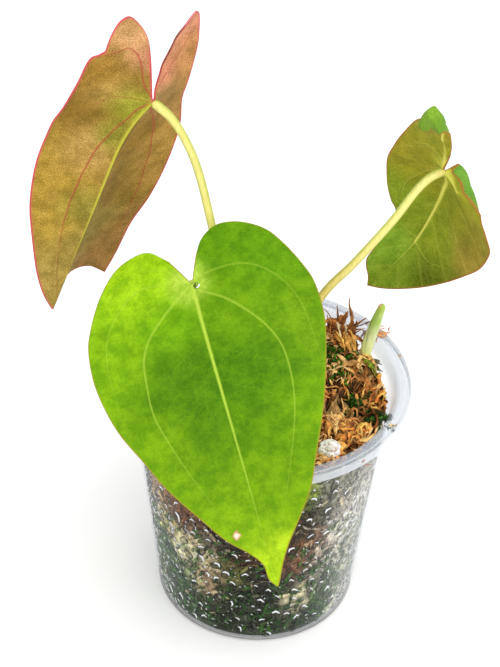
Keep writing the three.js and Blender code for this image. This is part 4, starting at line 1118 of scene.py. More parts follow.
# Each vein: its half (0 where it is the midrib's), its line as [out, along], and its half width at the
# start and at the end. Both sides' spots are (place, reach, colour), with the place as (aside, along).
# Strength and fade dim the side veins, one by one and towards the tip.
leafLooks = {
    "leaf_front": {
        "slot": "leaf_green",
        "veins": [
            (0, [[0, -1], [0, 117]], 0.76, 0.15),
            (1, [[0.5, 0.5], [6.9, 5.1], [14.1, 11.1], [20.7, 17.9], [24.5, 25.4], [25.8, 35.2],
                 [26.2, 45.9], [24.1, 55.7], [21.2, 65.5], [16, 80], [10, 94]], 0.5, 0.12),
            (-1, [[0.3, 0.5], [1.7, 3.3], [10.8, 10.1], [18, 18.4], [22.6, 25.5], [25.9, 34.3],
                  [25.9, 48.6], [23.4, 60.2], [19.4, 71.2], [13, 86], [8, 97]], 0.5, 0.12),
            (1, [[0.5, -0.5], [12.7, -2.9], [20.1, -3.1], [28.9, 3.4], [34.9, 11.4], [38, 22], [38, 36]],
             0.5, 0.1),
            (-1, [[0.5, -0.5], [4.5, -2.1], [13.2, -2.8], [22.9, -0.5], [32, 8], [37, 20], [38, 34]],
             0.5, 0.1),
            (1, [[0.8, -1], [8, -8], [17, -10.5], [27, -8], [35, 2]], 0.4, 0.1),
        ],
        "groove": (0.3, 0.35),
        "top": [((1.5, 0), 5, (0.40, 0.60, 0.05)), ((-30, -5), 14, (0.108, 0.278, 0.002)),
                ((-38, 26), 12, (0.14, 0.305, 0.003)), ((-14, 14), 10, (0.13, 0.30, 0.002)),
                ((-15, 42), 13, (0.074, 0.21, 0.001)), ((24, -6), 12, (0.30, 0.56, 0.006)),
                ((34, 20), 12, (0.19, 0.40, 0.003)), ((15, 15), 8, (0.15, 0.36, 0.002)),
                ((15, 38), 12, (0.072, 0.198, 0.001)), ((26, 62), 12, (0.16, 0.34, 0.002)),
                ((10, 62), 10, (0.080, 0.21, 0.001)), ((-3, 80), 12, (0.155, 0.33, 0.002)),
                ((-28, 62), 11, (0.15, 0.33, 0.002)), ((-12, 66), 10, (0.095, 0.24, 0.001)),
                ((6, 98), 8, (0.19, 0.38, 0.003)), ((0, 112), 9, (0.40, 0.60, 0.012))],
        "under": [((0, 0), 60, (0.30, 0.42, 0.06)), ((0, 80), 60, (0.28, 0.40, 0.06))],
        "veinTop": (0.44, 0.62, 0.06), "veinUnder": (0.55, 0.62, 0.20), "faintTop": (0.26, 0.48, 0.008),
        "margin": (0.32, 0.27, 0.02), "marginWidth": 0.22, "blush": 2.5, "sideVeins": 0.42, "grain": 95.0,
        "strength": {3: 0.6, 4: 0.6, 5: 0.45}, "fade": (0.4, 1.0), "net": 0.16,
        "mottle": ((0.70, 0.78, 0.5), (1.22, 1.14, 1.5)),
        "speckle": ((0.90, 0.93, 0.8), (1.10, 1.07, 1.3)),
        "scar": {"place": (9.3, 96.6), "halo": (0.62, 0.30, 0.16), "middle": (0.88, 0.76, 0.58)},
    },
    "leaf_left": {
        "slot": "leaf_bronze",
        "veins": [
            (0, [[0, -1], [0, 20], [0, 98]], 1.0, 0.14),
            (-1, [[0.6, 1.2], [2.4, 6.8], [2.8, 13.3], [4.9, 20.3], [6.3, 27.4], [8, 34.3], [8.9, 42.8],
                  [9.4, 51.8], [9.4, 61.5], [8.8, 70.7], [7.4, 80.4], [5.5, 89.7], [3.2, 97.8], [0.6, 107]],
             0.34, 0.22),
            (1, [[0.5, 1], [8, 10], [18.1, 25], [21.2, 34.8], [23.6, 44.9], [25, 59.8], [25.1, 70],
                 [24.5, 80]], 0.34, 0.16),
            (-1, [[0.6, -1.5], [7.4, -5.5], [13.8, -13.1], [18.1, -16.4], [21.6, -17.1], [23.7, -14.5],
                  [27.6, -11.6]], 0.34, 0.2),
            (-1, [[0.6, 0.6], [4.8, 2], [9.3, 4], [14.5, 7.4], [17, 13]], 0.3, 0.12),
            (1, [[1, -1], [5.2, -3.7], [16.2, -9], [24.5, -18.3]], 0.28, 0.14),
        ],
        "groove": (0.3, 0.45),
        "top": [((0, 0), 60, (0.07, 0.13, 0.02)), ((0, 90), 60, (0.10, 0.13, 0.02))],
        # The lower side's spots are its own bronze, olive and pink colours, and also painted shade: the
        # darker browns between the midrib and the right half's red vein stand for the shade of the bulging
        # blade
        "under": [((-20, -24), 9, (0.56, 0.31, 0.125)), ((-12, -18), 6, (0.62, 0.25, 0.16)),
                  ((-24, -6), 8, (0.34, 0.19, 0.03)), ((-10, -8), 6, (0.32, 0.20, 0.035)),
                  ((-16, 4), 6, (0.46, 0.28, 0.07)), ((-22, 19), 9, (0.27, 0.155, 0.025)),
                  ((-28, 32), 7, (0.42, 0.26, 0.045)), ((-22, 50), 14, (0.42, 0.265, 0.04)),
                  ((-12, 35), 8, (0.50, 0.31, 0.09)), ((-18, 72), 12, (0.44, 0.29, 0.045)),
                  ((-8, 95), 12, (0.40, 0.28, 0.06)), ((-4, 25), 5, (0.27, 0.26, 0.03)),
                  ((-5, 60), 7, (0.27, 0.24, 0.035)), ((-8, 5), 6, (0.33, 0.32, 0.03)),
                  ((8, 28), 8, (0.29, 0.168, 0.022)), ((12, 50), 9, (0.27, 0.165, 0.025)),
                  ((6, 80), 9, (0.29, 0.22, 0.04)), ((18, 92), 10, (0.33, 0.18, 0.045)),
                  ((28, 45), 8, (0.40, 0.24, 0.05)), ((22, 10), 10, (0.42, 0.24, 0.07)),
                  ((20, -8), 8, (0.50, 0.24, 0.08)), ((14, -22), 8, (0.66, 0.28, 0.16)),
                  ((13, -8), 5, (0.62, 0.24, 0.14)), ((19, 12), 5, (0.26, 0.15, 0.03))],
        "veinTop": (0.20, 0.26, 0.06), "veinUnder": (0.60, 0.58, 0.06), "redVein": (0.42, 0.05, 0.04),
        "faintTop": (0.12, 0.18, 0.03),
        "margin": (0.62, 0.07, 0.10), "marginWidth": 0.5, "blush": 5.0, "sideVeins": 0.75, "grain": 190.0,
        "strength": {4: 0.7}, "fade": (0.55, 0.95), "net": 0.25, "topEdge": (0.80, 0.24, 0.25),
        "mottle": ((0.78, 0.77, 0.66), (1.20, 1.18, 1.25)),
        "speckle": ((0.66, 0.62, 0.45), (1.34, 1.38, 1.55)),
    },
    "leaf_right": {
        "slot": "leaf_olive",
        "veins": [
            (0, [[0.8, 0], [1.3, 5], [-0.5, 15.8], [-1.2, 25], [-1.2, 33], [-0.6, 42.4], [0, 50]],
             1.15, 0.45),
            (1, [[0.2, -0.8], [2.7, -0.6], [6.2, 0.2], [9.5, 2.4]], 1.4, 0.4),
            (0, [[0, 50], [0, 79]], 0.3, 0.1),
            (1, [[0, 50], [4, 50.6], [10.9, 50.1], [15, 47]], 0.3, 0.1),
            (-1, [[0, 48], [4.1, 47.3], [10.4, 45.2]], 0.28, 0.1),
            (-1, [[-0.2, -0.5], [-0.9, -6], [-0.8, -15], [-0.8, -23], [-2.4, -34]], 1.0, 0.3),
            (-1, [[0.3, -4.5], [1.3, -9], [4.1, -11.5], [7.6, -11.8], [13, -8]], 0.55, 0.1),
            (-1, [[0.5, 0.5], [5.5, 4.6], [13.9, 13.7], [19.5, 20.7], [22, 31]], 0.4, 0.15),
        ],
        "groove": (0.3, 0.45),
        "top": [((0, 0), 60, (0.13, 0.29, 0.035)), ((0, 70), 60, (0.14, 0.31, 0.015)),
                ((28, 15), 14, (0.08, 0.235, 0.05)), ((-2, -46), 12, (0.20, 0.345, 0.018))],
        "under": [((-14, -30), 12, (0.33, 0.27, 0.02)), ((-20, -5), 12, (0.30, 0.27, 0.015)),
                  ((-8, -18), 7, (0.30, 0.30, 0.018)), ((-12, 12), 9, (0.29, 0.28, 0.014)),
                  ((-22, 30), 12, (0.24, 0.33, 0.02)), ((-10, 62), 12, (0.23, 0.39, 0.03)),
                  ((-8, 35), 8, (0.24, 0.30, 0.016)), ((8, 20), 8, (0.25, 0.28, 0.015)),
                  ((8, 45), 9, (0.25, 0.32, 0.018)), ((4, 70), 10, (0.18, 0.27, 0.014)),
                  ((22, 18), 8, (0.295, 0.25, 0.025)), ((26, 32), 9, (0.315, 0.24, 0.032)),
                  ((17, 54), 9, (0.095, 0.122, 0.004)), ((14, 2), 6, (0.34, 0.34, 0.02)),
                  ((0, -2), 4, (0.44, 0.46, 0.04))],
        "veinTop": (0.35, 0.50, 0.06), "veinUnder": (0.80, 0.78, 0.14), "faintTop": (0.30, 0.45, 0.05),
        "margin": (0.36, 0.15, 0.03), "marginWidth": 0.5, "blush": 3.0, "sideVeins": 0.72, "grain": 95.0,
        "strength": {2: 0.5, 3: 0.4, 4: 0.35, 6: 0.4, 7: 0.25}, "fade": (0.5, 0.8), "net": 0.6,
        "mottle": ((0.80, 0.86, 0.7), (1.20, 1.16, 1.25)),
        "speckle": ((0.84, 0.87, 0.8), (1.16, 1.13, 1.2)),
    },
}


# Both sides' colours with noise over them, the veins as lines of a chosen reach, and the margin. The flat
# map is the unrolled blade in units of 100 mm.
def leafMaterial(name, look):
    graph = Graph(name)
    flat = graph.add("ShaderNodeUVMap", {"uv_map": "flat"})
    mottle = graph.noise(flat, 13.0, 6.0, 0.68)
    fine = graph.noise(flat, look["grain"], 3.0, 0.7)
    tone = graph.times(graph.tint(), mottle.step(0.36, 0.64).mix(*look["mottle"]))
    tone = graph.times(tone, fine.step(0.34, 0.66).mix(*look["speckle"]))
    upper, edge = graph.attribute("upper"), graph.attribute("edge")
    reaches = [abs(graph.attribute(f"vein{k}")) for k in range(len(look["veins"]))]
    cells = graph.add("ShaderNodeTexVoronoi", {"feature": "DISTANCE_TO_EDGE", "voronoi_dimensions": "2D"},
                      {"Vector": flat, "Scale": 34.0, "Randomness": 1.0}, 0)
    net = cells.step(0.07, 0.0)
    lateral = abs(graph.attribute("lateral") - 0.5).step(0.44, 0.5)
    faint = (net * 0.22).larger(lateral * 0.5)
    veinTone = upper.mix(look["veinUnder"], look["veinTop"])
    faintTone = upper.mix(look["veinUnder"], look["faintTop"])
    tone = (faint * (upper * (0.75 - look["net"]) + look["net"])).mix(tone, faintTone)
    if "topEdge" in look:
        tone = (upper * edge.step(1.9, 0.7) * 0.9).mix(tone, look["topEdge"])
    start, end = look["fade"]
    fade = 1.0 - graph.add("ShaderNodeSeparateXYZ", None, [flat], 1).step(start, end) * 0.75
    main = reaches[0].step(1.6, 0.2)
    lines = [reach.step(1.7, 0.2) * look["strength"].get(k, 1.0) for k, reach in enumerate(reaches[1:], 1)]
    others = functools.reduce(Value.larger, lines)
    sideTone = upper.mix(look["redVein"], look["veinTop"]) if "redVein" in look else veinTone
    tone = (others * fade * look["sideVeins"]).mix(tone, sideTone)
    tone = (main * fade * 0.9).mix(tone, veinTone)
    width = look["marginWidth"]
    blush = edge.step(width * look["blush"], 0.0)
    tone = (blush * blush * 0.5).mix(tone, look["margin"])
    margin = (edge * (1.0 - upper * 0.5)).step(width * 1.5, width * 0.5)
    marginTone = upper.mix(look["margin"], look["topEdge"]) if "topEdge" in look else look["margin"]
    tone = (margin * 0.9).mix(tone, marginTone)
    if "scar" in look:
        out, along = look["scar"]["place"]
        at = (out * 0.01, along * 0.01, 0.0)
        gap = graph.add("ShaderNodeVectorMath", {"operation": "DISTANCE"}, [flat, at], 1)
        gap = gap + (graph.noise(flat, 55.0, 2.0) - 0.5) * 0.022
        tone = (gap.step(0.019, 0.013) * 0.85).mix(tone, look["scar"]["halo"])
        tone = (gap.step(0.014, 0.007) * 0.9).mix(tone, look["scar"]["middle"])
    normal = graph.bump(fine * 0.4 + mottle * 0.6 - net * 0.25, 0.5 * mm, 0.6)
    return graph.finish(graph.surface(Base_Color=tone, Roughness=mottle * 0.16 + 0.5, Normal=normal,
                                      Specular_IOR_Level=0.08))


bladeSettings = {"ribs": 170, "samples": 46, "rim": (0.5, 0.3, 0.16, 0.06, 0.0), "thickness": 0.27,
                 "rounding": 0.45, "pillow": 0.16, "pucker": 0.22}


# The ribs of one half: fanned behind the attachment, then one from each foot on the midrib, each with
# samples at even shares of its length and a few closer ones at the rim
def bladeRibs(line, feet, settings):
    rim = np.array(settings["rim"])
    fan = line[line[:, 1] - line[:, 0] < -0.4]
    starts = np.concatenate([np.zeros(len(fan) + 1), feet])
    ends = np.concatenate([fan, [ribEnd(line, 0)], [ribEnd(line, foot) for foot in feet]])
    length = np.hypot(ends[:, 0], ends[:, 1] - starts)[:, None]
    even = np.tile(np.linspace(0, 1, settings["samples"])[:-1], (len(starts), 1))
    shares = np.concatenate([even * (1 - np.minimum(rim[0] / length, 0.3)),
                             1 - np.minimum(rim / length, 0.3 * rim / rim[0])], 1)
    out = ends[:, :1] * shares
    along = starts[:, None] + (ends[:, 1] - starts)[:, None] * shares
    return out, along, length * (1 - shares), shares


# The upper side's direction over one half, shared with the other half's along the midrib
def seamNormals(shape, side, out, along):
    seam = np.exp(-(out / 1.2) ** 2)[..., None]
    middle = np.zeros_like(out)
    both = bladeNormals(shape, side, middle, along) + bladeNormals(shape, -side, middle, along)
    return unit(bladeNormals(shape, side, out, along) * (1 - seam) + unit(both) * seam)


# One closed blade: both halves' upper and lower sheets, which meet at the rim, with the veins in relief,
# pillows between the side veins and slow puckers
def addBlade(name, settings):
    shape, look, thickness = leafShapes[name], leafLooks[name], settings["thickness"]
    lines = {side: fineOutline(half) for side, half in shape["halves"].items()}
    tip = lines[1][-1, 1]
    feet = set(np.round(np.linspace(0.5, tip - 0.25, settings["ribs"]), 3))
    for half in shape["halves"].values():
        feet |= {round(half["outline"][k][1] - half["outline"][k][0], 3) for k in half["corners"]}
    feet = np.array(sorted(foot for foot in feet if 0.4 < foot < tip - 0.2))
    points, faces, colours, flats, base = [], [], [], [], 0
    keys = ["upper", "edge", "lateral"] + [f"vein{k}" for k in range(len(look["veins"]))]
    values = {key: [] for key in keys}
    for side, line in lines.items():
        out, along, outer, shares = bladeRibs(line, feet, settings)
        places = np.stack([side * out, along], -1)
        middle = bladePoints(shape, side, out, along)
        normal = seamNormals(shape, side, out, along)

        # Thin towards the outline and towards the cut between the two lobes
        back = unit(line[0])
        ahead, beside = out * back[0] + along * back[1], np.abs(out * back[1] - along * back[0])
        inner = np.where(ahead > 0, beside, np.hypot(out, along))
        thin = 1 - np.clip(np.minimum(outer, inner) / settings["rounding"], 0, 1)
        thick = thickness * np.sqrt(np.clip(1 - thin ** 2, 0, 1))
        thick[-1] = 0  # the last rib, at the tip
        edge = np.minimum(outer, np.where(ahead > 0, beside, 99))

        reaches, sunk = [], np.zeros_like(out)
        for half, vein, start, end in look["veins"]:
            mirrored = [[(half or 1) * o, a] for o, a in vein]
            own = half in (0, side)
            reaches.append(veinReach(places, mirrored, start, end) if own else np.full_like(out, farReach))
            sunk = np.maximum(sunk, np.exp(-(reaches[-1] * 0.5) ** 2) * min(1.0, start / 0.7))
        lateral = (along - out * 0.75 + 0.006 * out ** 2) / 13.5 + (0.35 if side > 0 else 0.1)
        pillow = np.cos(2 * np.pi * lateral) * smooth(out / 6) * smooth((outer - 2) / 6)
        pucker = fuzz(np.stack([places[..., 0], along, 0 * out], -1), 9.0, 61) * smooth(outer / 4)
        pucker = pucker * np.clip(shares * 4, 0, 1)
        shift = settings["pillow"] * pillow + settings["pucker"] * pucker - look["groove"][0] * sunk
        middle = middle + shift[..., None] * normal
        top = middle + normal * thick[..., None]
        under = middle - normal * (thick + look["groove"][1] * sunk * (thick / thickness))[..., None]

        rows, columns = out.shape
        i, j = np.meshgrid(np.arange(rows - 1), np.arange(columns - 1), indexing="ij")
        a = i * columns + j
        quads = np.stack([a, a + 1, a + columns + 1, a + columns], -1).reshape(-1, 4)
        for upper, sheet, spots in ((1, top, look["top"]), (0, under, look["under"])):
            points.append(sheet.reshape(-1, 3))
            faces.append((quads if (side > 0) == bool(upper) else quads[:, ::-1]) + base)
            colours.append(blended(places.reshape(-1, 2), spots))
            flats.append(places.reshape(-1, 2) / 100)
            for key, value in zip(keys, [np.full_like(out, upper), edge, lateral % 1, *reaches]):
                values[key].append(value.ravel())
            base += rows * columns
    points, colours, flats = (np.concatenate(parts) for parts in (points, colours, flats))
    values = {key: np.concatenate(parts) for key, parts in values.items()}
    mesh = meshOf(name + "_blade", points, faces, colours, flats, values)
    whole = bmesh.new()
    whole.from_mesh(mesh)
    bmesh.ops.remove_doubles(whole, verts=whole.verts, dist=0.002 * mm)
    bmesh.ops.dissolve_degenerate(whole, edges=whole.edges, dist=0.0001 * mm)
    bmesh.ops.holes_fill(whole, edges=[edge for edge in whole.edges if edge.is_boundary], sides=0)
    whole.to_mesh(mesh)
    whole.free()
    mesh.polygons.foreach_set("use_smooth", np.ones(len(mesh.polygons), bool))
    addPiece(name + "_blade", mesh, leafMaterial(name, look), [name])
    print(name, len(mesh.polygons))


leafDropSettings = {"side": -1, "out": 1.6, "along": 1.6, "radius": 1.25, "height": 0.5, "sides": 20}


# A drop of water on the front leaf, close to its attachment: rings over the blade, each a share of the
# radius and a share of the height
def addLeafDrop(settings):
    shape, side, sides = leafShapes["leaf_front"], settings["side"], settings["sides"]
    angle = evenTurns(sides)
    levels = [(0.3, 0.98), (0.6, 0.84), (0.82, 0.62), (0.96, 0.3), (1.0, 0.05), (0.9, -0.15)]
    share, height = np.array(levels).T[:, :, None]
    out = settings["out"] + settings["radius"] * share * np.cos(angle)
    along = settings["along"] + settings["radius"] * share * np.sin(angle)
    facing = bladeNormals(shape, side, *(np.full(1, settings[key]) for key in ("out", "along")))[0]
    lift = height[..., None] * settings["height"] + 0.25
    rings = bladePoints(shape, side, out, along) + facing * lift
    top, bottom = rings[0].mean(0) + facing * 0.02, rings[-1].mean(0) - facing * 0.1
    # The painted highlight crescent on the drop's upper rim
    rise = np.sin(angle + 0.8) * np.exp(-((share - 0.8) / 0.18) ** 2)
    values = {"rise": np.concatenate([[0], rise.ravel(), [0]]),
              "centred": np.concatenate([[0], np.repeat(share * 0.82, sides), [0.8]])}
    mesh = meshOf("leafDrop", np.concatenate([[top], rings.reshape(-1, 3), [bottom]]),
                  ringFaces(len(levels), sides), values=values)
    addPiece("leafDrop", mesh, waterMaterial(waterLook))


# The last of these darkens the petioles' sides as painted shade
petioleRadius, petiolePink, petiolePaintedShade = 1.62, (0.80, 0.42, 0.22), (0.50, 0.34, 0.75)
petioleLooks = {
    "leaf_front": {"low": (0.55, 0.58, 0.12), "high": (0.50, 0.60, 0.08), "pink": 0},
    "leaf_left": {"low": (0.60, 0.60, 0.05), "high": (0.80, 0.72, 0.22), "pink": 0},
    "leaf_right": {"low": (0.76, 0.56, 0.13), "high": (0.85, 0.77, 0.25), "pink": 0.35},
}


# Smooth green skin: its tint with fine streaks that run along it
def stemMaterial(name):
    graph = Graph(name)
    streak = graph.noise(graph.place(1, 1, 0.25), 900.0, 3.0)
    shade = streak.step(0.3, 0.7).mix((0.9, 0.9, 0.86), (1.06, 1.05, 1.1))
    tone = graph.times(graph.tint(), shade)
    return graph.finish(graph.surface(Base_Color=tone, Roughness=streak * 0.15 + 0.32,
                                      Normal=graph.bump(streak, 0.2 * mm, 0.5), Specular_IOR_Level=0.35))


# A petiole: a tube that swells at its foot and below its blade. It changes from a low tone to a high one,
# is painted darker along both sides as seen from the front, a painted shade for its roundness, and one is
# pinkish beneath where it is low.
def addPetiole(name):
    shape, look = leafShapes[name], petioleLooks[name]
    route = spaced(smoothLine([*shape["petiole"], shape["attach"]], 24), 110)
    share = np.linspace(0, 1, len(route))
    swelling = 0.12 * np.exp(-((share - 0.97) / 0.04) ** 2) + 0.10 * np.exp(-(share / 0.12) ** 2)
    radius = petioleRadius * (1 + swelling)
    radius = radius * np.minimum(1, np.sqrt(np.clip((1.004 - share) / 0.012, 0.05, 1)))
    points, faces, along, angle = tubeArrays(route, share, radius, [0.0, -1.0, 0.35], 20)
    along, angle = along[:, None], angle[:, None]
    tint = between(look["low"], look["high"], smooth((along - 0.25) / 0.5))
    pink = look["pink"] * smooth((0.75 - along) / 0.3) * smooth(-np.cos(angle - 0.6) * 2)
    tint = between(tint, petiolePink, pink)
    # Painted shade along both sides of the tube as seen from the front
    tint = tint * (1 - np.array(petiolePaintedShade) * np.abs(np.cos(angle)) ** 2.5)
    mesh = meshOf(name + "_petiole", points, faces, tint)
    addPiece(name + "_petiole", mesh, stemMaterial(name + "_petiole"), [name])


# The colours are spots at a height along the shoot in millimetres and a place across it
shootSettings = {
    "foot": [39.6, 24.4, 92], "tip": [46.6, 24, 126], "radius": 2.35, "tipRadius": 1.6, "sides": 28,
    "length": 34, "shoulder": 0.93, "brown": (0.62, 0.34, 0.20),
    "tones": [((3, 0), 5, (0.80, 1.0, 0.04)), ((13, 0), 5, (0.92, 1.0, 0.42)),
              ((20, 1), 4, (0.96, 1.0, 0.66)), ((21, -1), 4, (0.42, 0.60, 0.08)),
              # The spot at 29 mm is a painted highlight
              ((27, 0), 4, (0.27, 0.50, 0.03)), ((29, 2), 3, (0.70, 0.78, 0.34)),
              ((32.5, 0), 3, (0.38, 0.56, 0.05))],
}


# The new shoot: a rolled leaf in its sheath, pale low down and green above, with a brown tip and a painted
# highlight on its right side near the top. It ends in a rounded shoulder, and a groove winds up it where
# the leaf's edge lies over the roll; the groove is painted darker as shade.
def addShoot(settings):
    foot, tip = np.array(settings["foot"], float), np.array(settings["tip"], float)
    shoulder, sides = settings["shoulder"], settings["sides"]
    rounding = 1 - (1 - shoulder) * (1 - np.sin(np.linspace(0.1, 1.56, 12)))
    share = np.concatenate([np.linspace(0, shoulder, 46), rounding])
    bow = np.sin(share * np.pi)[:, None] * np.array([-0.35, 0.2, 0])
    route = foot + (tip - foot) * share[:, None] + bow
    radius = settings["radius"] + (settings["tipRadius"] - settings["radius"]) * smooth((share - 0.6) / 0.4)
    end = np.clip((share - shoulder) / (1 - shoulder), 0, 1)
    radius = radius * np.sqrt(np.clip(1 - end ** 2, 0.004, 1))
    points, faces, along, angle = tubeArrays(route, share, radius, [0.0, -1.0, 0.2], sides)
    winding = np.mod(angle - 1.2 - 2.2 * along + np.pi, 2 * np.pi) - np.pi
    groove = np.exp(-(winding / 0.16) ** 2) * smooth((along - 0.3) / 0.2)
    centre = np.concatenate([route[:1], np.repeat(route, sides, 0), route[-1:]])
    points = centre + (points - centre) * (1 - 0.10 * groove)[:, None]
    places = np.stack([along * settings["length"], 2 * np.cos(angle)], -1)
    # Painted shade: the groove is darkened
    tint = blended(places, settings["tones"]) * (1 - 0.45 * groove)[:, None]
    brown = smooth((along - shoulder) / 0.04) * smooth(np.cos(angle - 3.5) * 2)
    tint = between(tint, settings["brown"], brown[:, None])
    mesh = meshOf("newShoot", points, faces, tint)
    addPiece("newShoot", mesh, stemMaterial("newShoot"), ["new_shoot"])
    print("shoot", len(route))


crownSettings = {
    "radius": 6.4, "top": 99.5, "bottom": 74, "rootRadius": 1.5, "sheaths": 16, "seed": 3,
    "stemTone": (0.30, 0.30, 0.10), "rootTone": (0.62, 0.58, 0.42), "sheathTone": (0.36, 0.20, 0.08),
    "roots": [[[2.5, 0.5, 77], [9, 2, 66], [16, 5, 48], [25, 9, 26], [24, 12, 12]],
              [[-2.2, 1.4, 77], [-8, 7, 63], [-12, 16, 42], [-18, 22, 22], [-22, 20, 9]],
              [[-1, -2.4, 77], [-4, -9, 67], [-3, -18, 52], [-7, -28, 36], [-14, -31, 20]],
              [[0.6, 2.5, 77], [1, 8, 62], [4, 14, 44], [2, 21, 28], [8, 28, 11]]],
}


# The crown: a knobbly short stem with torn papery sheaths round it, and roots below
def addCrown(settings):
    sides, rings = 40, 44
    share = ((np.arange(rings) + 0.5) / rings)[:, None]
    z = settings["bottom"] + (settings["top"] - settings["bottom"]) * share
    shape = settings["radius"] * np.sqrt(np.clip(1 - (2 * share - 1) ** 8, 0, 1)) * (0.86 + 0.12 * share)
    angle = evenTurns(sides)
    knobs = 1 + 0.07 * np.sin(3 * angle + 9 * share) + 0.05 * np.sin(7 * angle - 14 * share)
    ringed = 1 - 0.06 * np.exp(-((np.mod(share * 6 + 0.1 * np.sin(angle), 1) - 0.5) / 0.12) ** 2)
    r = shape * knobs * ringed
    stem = np.stack([r * np.cos(angle), r * np.sin(angle), z + 0 * r], -1).reshape(-1, 3)
    stem = np.concatenate([[[0, 0, settings["bottom"]]], stem, [[0, 0, settings["top"]]]])
    parts, tones = [(stem, [part[:, ::-1] for part in ringFaces(rings, sides)])], [settings["stemTone"]]
    random = np.random.default_rng(settings["seed"])
    for places in settings["roots"]:
        route = spaced(smoothLine(places, 12), 60)
        share = np.linspace(0, 1, 60)
        radius = settings["rootRadius"] * (1 - 0.35 * share) * (1 + 0.06 * random.normal(size=60))
        parts.append(tubeArrays(route, share, radius, [1.0, 0.3, 0.2], 10)[:2])
        tones.append(settings["rootTone"])
    spread = np.linspace(0, 1, 9)
    for k in range(settings["sheaths"]):
        turn = goldenTurn * k
        lean = 0.25 + 0.5 * random.random()
        length = 7 + 8 * random.random()
        out = 5.4 + lean * length * spread ** 1.6 * 0.8
        route = np.stack([out * np.cos(turn + 0.3 * spread), out * np.sin(turn + 0.3 * spread),
                          93 + length * spread + random.random()], -1)
        width = 1.9 * (1 - spread ** 2 * 0.85) + 0.05
        facing = np.tile([math.cos(turn), math.sin(turn), 0.2], (1, 9, 1))
        parts.append(strandArrays(route[None], width[None], 0.13 + 0 * width[None], facing, sides=6)[:2])
        tones.append(settings["sheathTone"])
    colours = [np.array(tone) * (1 + 0.25 * fuzz(points, 2.5, 70 + index))[:, None]
               for index, (tone, (points, _)) in enumerate(zip(tones, parts))]
    mesh = meshOf("crownStem", *joined(parts), np.concatenate(colours))
    addPiece("crownStem", mesh, mossMaterial("crownStem", 0.7, 500.0), ["crown"])
    print("crown", len(parts))


# Each tuft: place, radius, how far the feet of its stems are strewn, and colour
tuftPlaces = [(30.5, 18, 5, (6, 17), (0.045, 0.16, 0.01)), (36.5, -3.5, 4.2, (7, 8), (0.03, 0.08, 0.008)),
              (44.5, -12, 3, (8, 6), (0.03, 0.08, 0.01)), (-31, 22, 4, (5, 5), (0.06, 0.14, 0.01))]


# A tuft of living moss: short stems that fan out and sag, each with small pointed leaves in a spiral
def addTuft(number, x, y, radius, strewn, base):
    random = np.random.default_rng(99 + number)
    stems, leaves, stations = int(radius * 8), 12, 8
    turn = goldenTurn * np.arange(stems) + random.normal(0, 0.2, stems)
    lean = 0.05 + 0.85 * (np.arange(stems) + 0.5) / stems + random.normal(0, 0.15, stems)
    away = np.stack([np.cos(turn) * np.cos(lean), np.sin(turn) * np.cos(lean), np.sin(lean)], -1)
    reach = (radius * (1.15 + 0.35 * random.random(stems)))[:, None, None]
    foot = np.array([x, y, 0.0]) + np.append(strewn, 0) * (random.random((stems, 3)) - 0.5)
    foot[:, 2] = mossTop(foot[:, 0], foot[:, 1]) + random.uniform(-0.5, 1.8, stems)
    spread = np.linspace(0, 1, stations)
    sag = np.array([0, 0, -1.0]) * (0.25 * reach * spread[:, None] ** 2)
    paths = foot[:, None] + away[:, None] * reach * spread[:, None] + sag
    facing = np.tile([0.2, -1, 0.3], (stems, stations, 1))
    thick = 0.28 * (1 - 0.6 * spread) + 0 * paths[..., 0]
    stemPoints, stemFaces, _ = strandArrays(paths, thick, thick, facing)

    at = np.linspace(0.12, 0.98, leaves)
    roots = [np.stack([np.interp(at, spread, line) for line in path.T], -1) for path in paths]
    roots = np.concatenate(roots)
    count = len(roots)
    ahead = np.repeat(away, leaves, 0)
    spin = goldenTurn * np.arange(count) + random.normal(0, 0.3, count)
    side = unit(np.cross(ahead, [0.3, 0.2, 1.0]))
    outward = np.cos(spin)[:, None] * side + np.sin(spin)[:, None] * np.cross(ahead, side)
    aim = unit(outward + ahead * random.uniform(0.4, 1.2, (count, 1)))
    size = random.uniform(0.9, 1.9, (count, 1, 1))
    share = np.linspace(0, 1, 5)
    along = share[:, None]
    paths = roots[:, None] + aim[:, None] * size * along + outward[:, None] * 0.25 * size * along ** 2
    broad = 0.34 * size[..., 0] * np.sin(np.pi * (0.12 + 0.86 * share))
    facing = np.repeat(ahead[:, None], len(share), 1)
    leafPoints, leafFaces, each = strandArrays(paths, broad, 0.07 + 0 * broad, facing)

    base = np.array(base)
    bright = 0.4 + 1.8 * random.random((count, 1)) ** 2
    leafTint = np.repeat(base * bright * (0.7 + 0.8 * np.repeat(lean, leaves)[:, None]), each, 0)
    stemTint = np.tile(base * 0.8 + np.array((0.05, 0.03, 0.0)), (len(stemPoints), 1))
    name = f"mossTuft{number}"
    mesh = meshOf(name, *joined([(stemPoints, stemFaces), (leafPoints, leafFaces)]),
                  np.concatenate([stemTint, leafTint]))
    addPiece(name, mesh, mossMaterial(name, 0.55, 600.0), [f"moss_tuft_{number}"])
    print("tuft", number, stems)


# Each lump: place and radius
lumpPlaces = [(26.6, -33.5, 4.6), (-12, 36, 3.6), (-38, -9, 3.2)]
lumpLook = {"white": (1.0, 0.99, 0.96), "dust": (0.45, 0.29, 0.18), "stain": (0.60, 0.38, 0.24)}


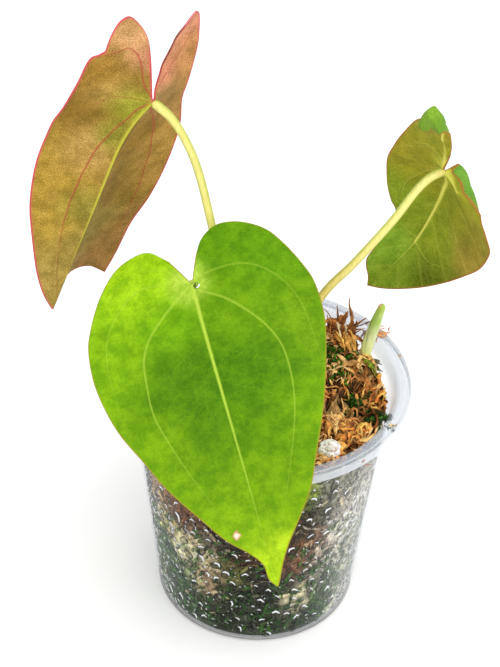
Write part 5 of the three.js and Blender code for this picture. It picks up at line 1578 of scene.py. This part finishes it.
# White and dusty stone with fine pores and a few brown stains
def lumpMaterial(name, look):
    graph = Graph(name)
    grain = graph.noise(graph.place(), 1500.0, 4.0, 0.7)
    stain = graph.noise(graph.place(), 320.0, 2.0).step(0.56, 0.72)
    tone = (stain * 0.45).mix(graph.tint(), look["stain"])
    return graph.finish(graph.surface(Base_Color=tone, Roughness=grain * 0.2 + 0.7,
                                      Normal=graph.bump(grain, 0.3 * mm, 0.8)))


# A lump of perlite: a ball whose radius is dented and pitted by noise, with brown dust in its pits
def addLump(number, x, y, radius, look):
    name = f"perlite{number}"
    ball = bmesh.new()
    bmesh.ops.create_icosphere(ball, subdivisions=5, radius=1)
    mesh = bpy.data.meshes.new(name)
    ball.to_mesh(mesh)
    ball.free()
    places = np.zeros(len(mesh.vertices) * 3)
    mesh.vertices.foreach_get("co", places)
    p = places.reshape(-1, 3)
    dent = 0.97 + 0.05 * np.sin(5 * p[:, 0] + x) + 0.12 * fuzz(p, 0.8, 87 + number)
    pits = np.maximum(0, fuzz(p, 0.26, 80 + number) - 0.1) * 0.28
    pits = pits + np.maximum(0, fuzz(p, 0.12, 84) - 0.1) * 0.12
    size = radius * (dent - pits + 0.08 * fuzz(p, 0.4, 86 + number))
    moved = p * size[:, None] * np.array([1, 1, 0.92])
    moved += np.array([x, y, float(fillingHeight(x, y)) + radius * 0.5])
    mesh.vertices.foreach_set("co", (moved * mm).ravel())
    paint(mesh, between(look["white"], look["dust"], smooth(pits / 0.09)[:, None] * 0.8))
    mesh.polygons.foreach_set("use_smooth", np.ones(len(mesh.polygons), bool))
    addPiece(name, mesh, lumpMaterial(name, look), [f"perlite_{number}"])
    print("lump", number)


addCamera(cameraSettings)
addRoom(roomSettings)
addPot()
addDroplets(dropSettings)
addMossBody(bodySettings)
addWallStrands(wallStrandSettings)
addFlakes(flakeSettings)
addShards(heapSettings)
addRibbons(heapSettings)
addCrumbs(heapSettings)
for leaf in leafShapes:
    addBlade(leaf, bladeSettings)
    addPetiole(leaf)
addLeafDrop(leafDropSettings)
addShoot(shootSettings)
addCrown(crownSettings)
for number, tuft in enumerate(tuftPlaces, 1):
    addTuft(number, *tuft)
for number, lump in enumerate(lumpPlaces, 1):
    addLump(number, *lump, lumpLook)
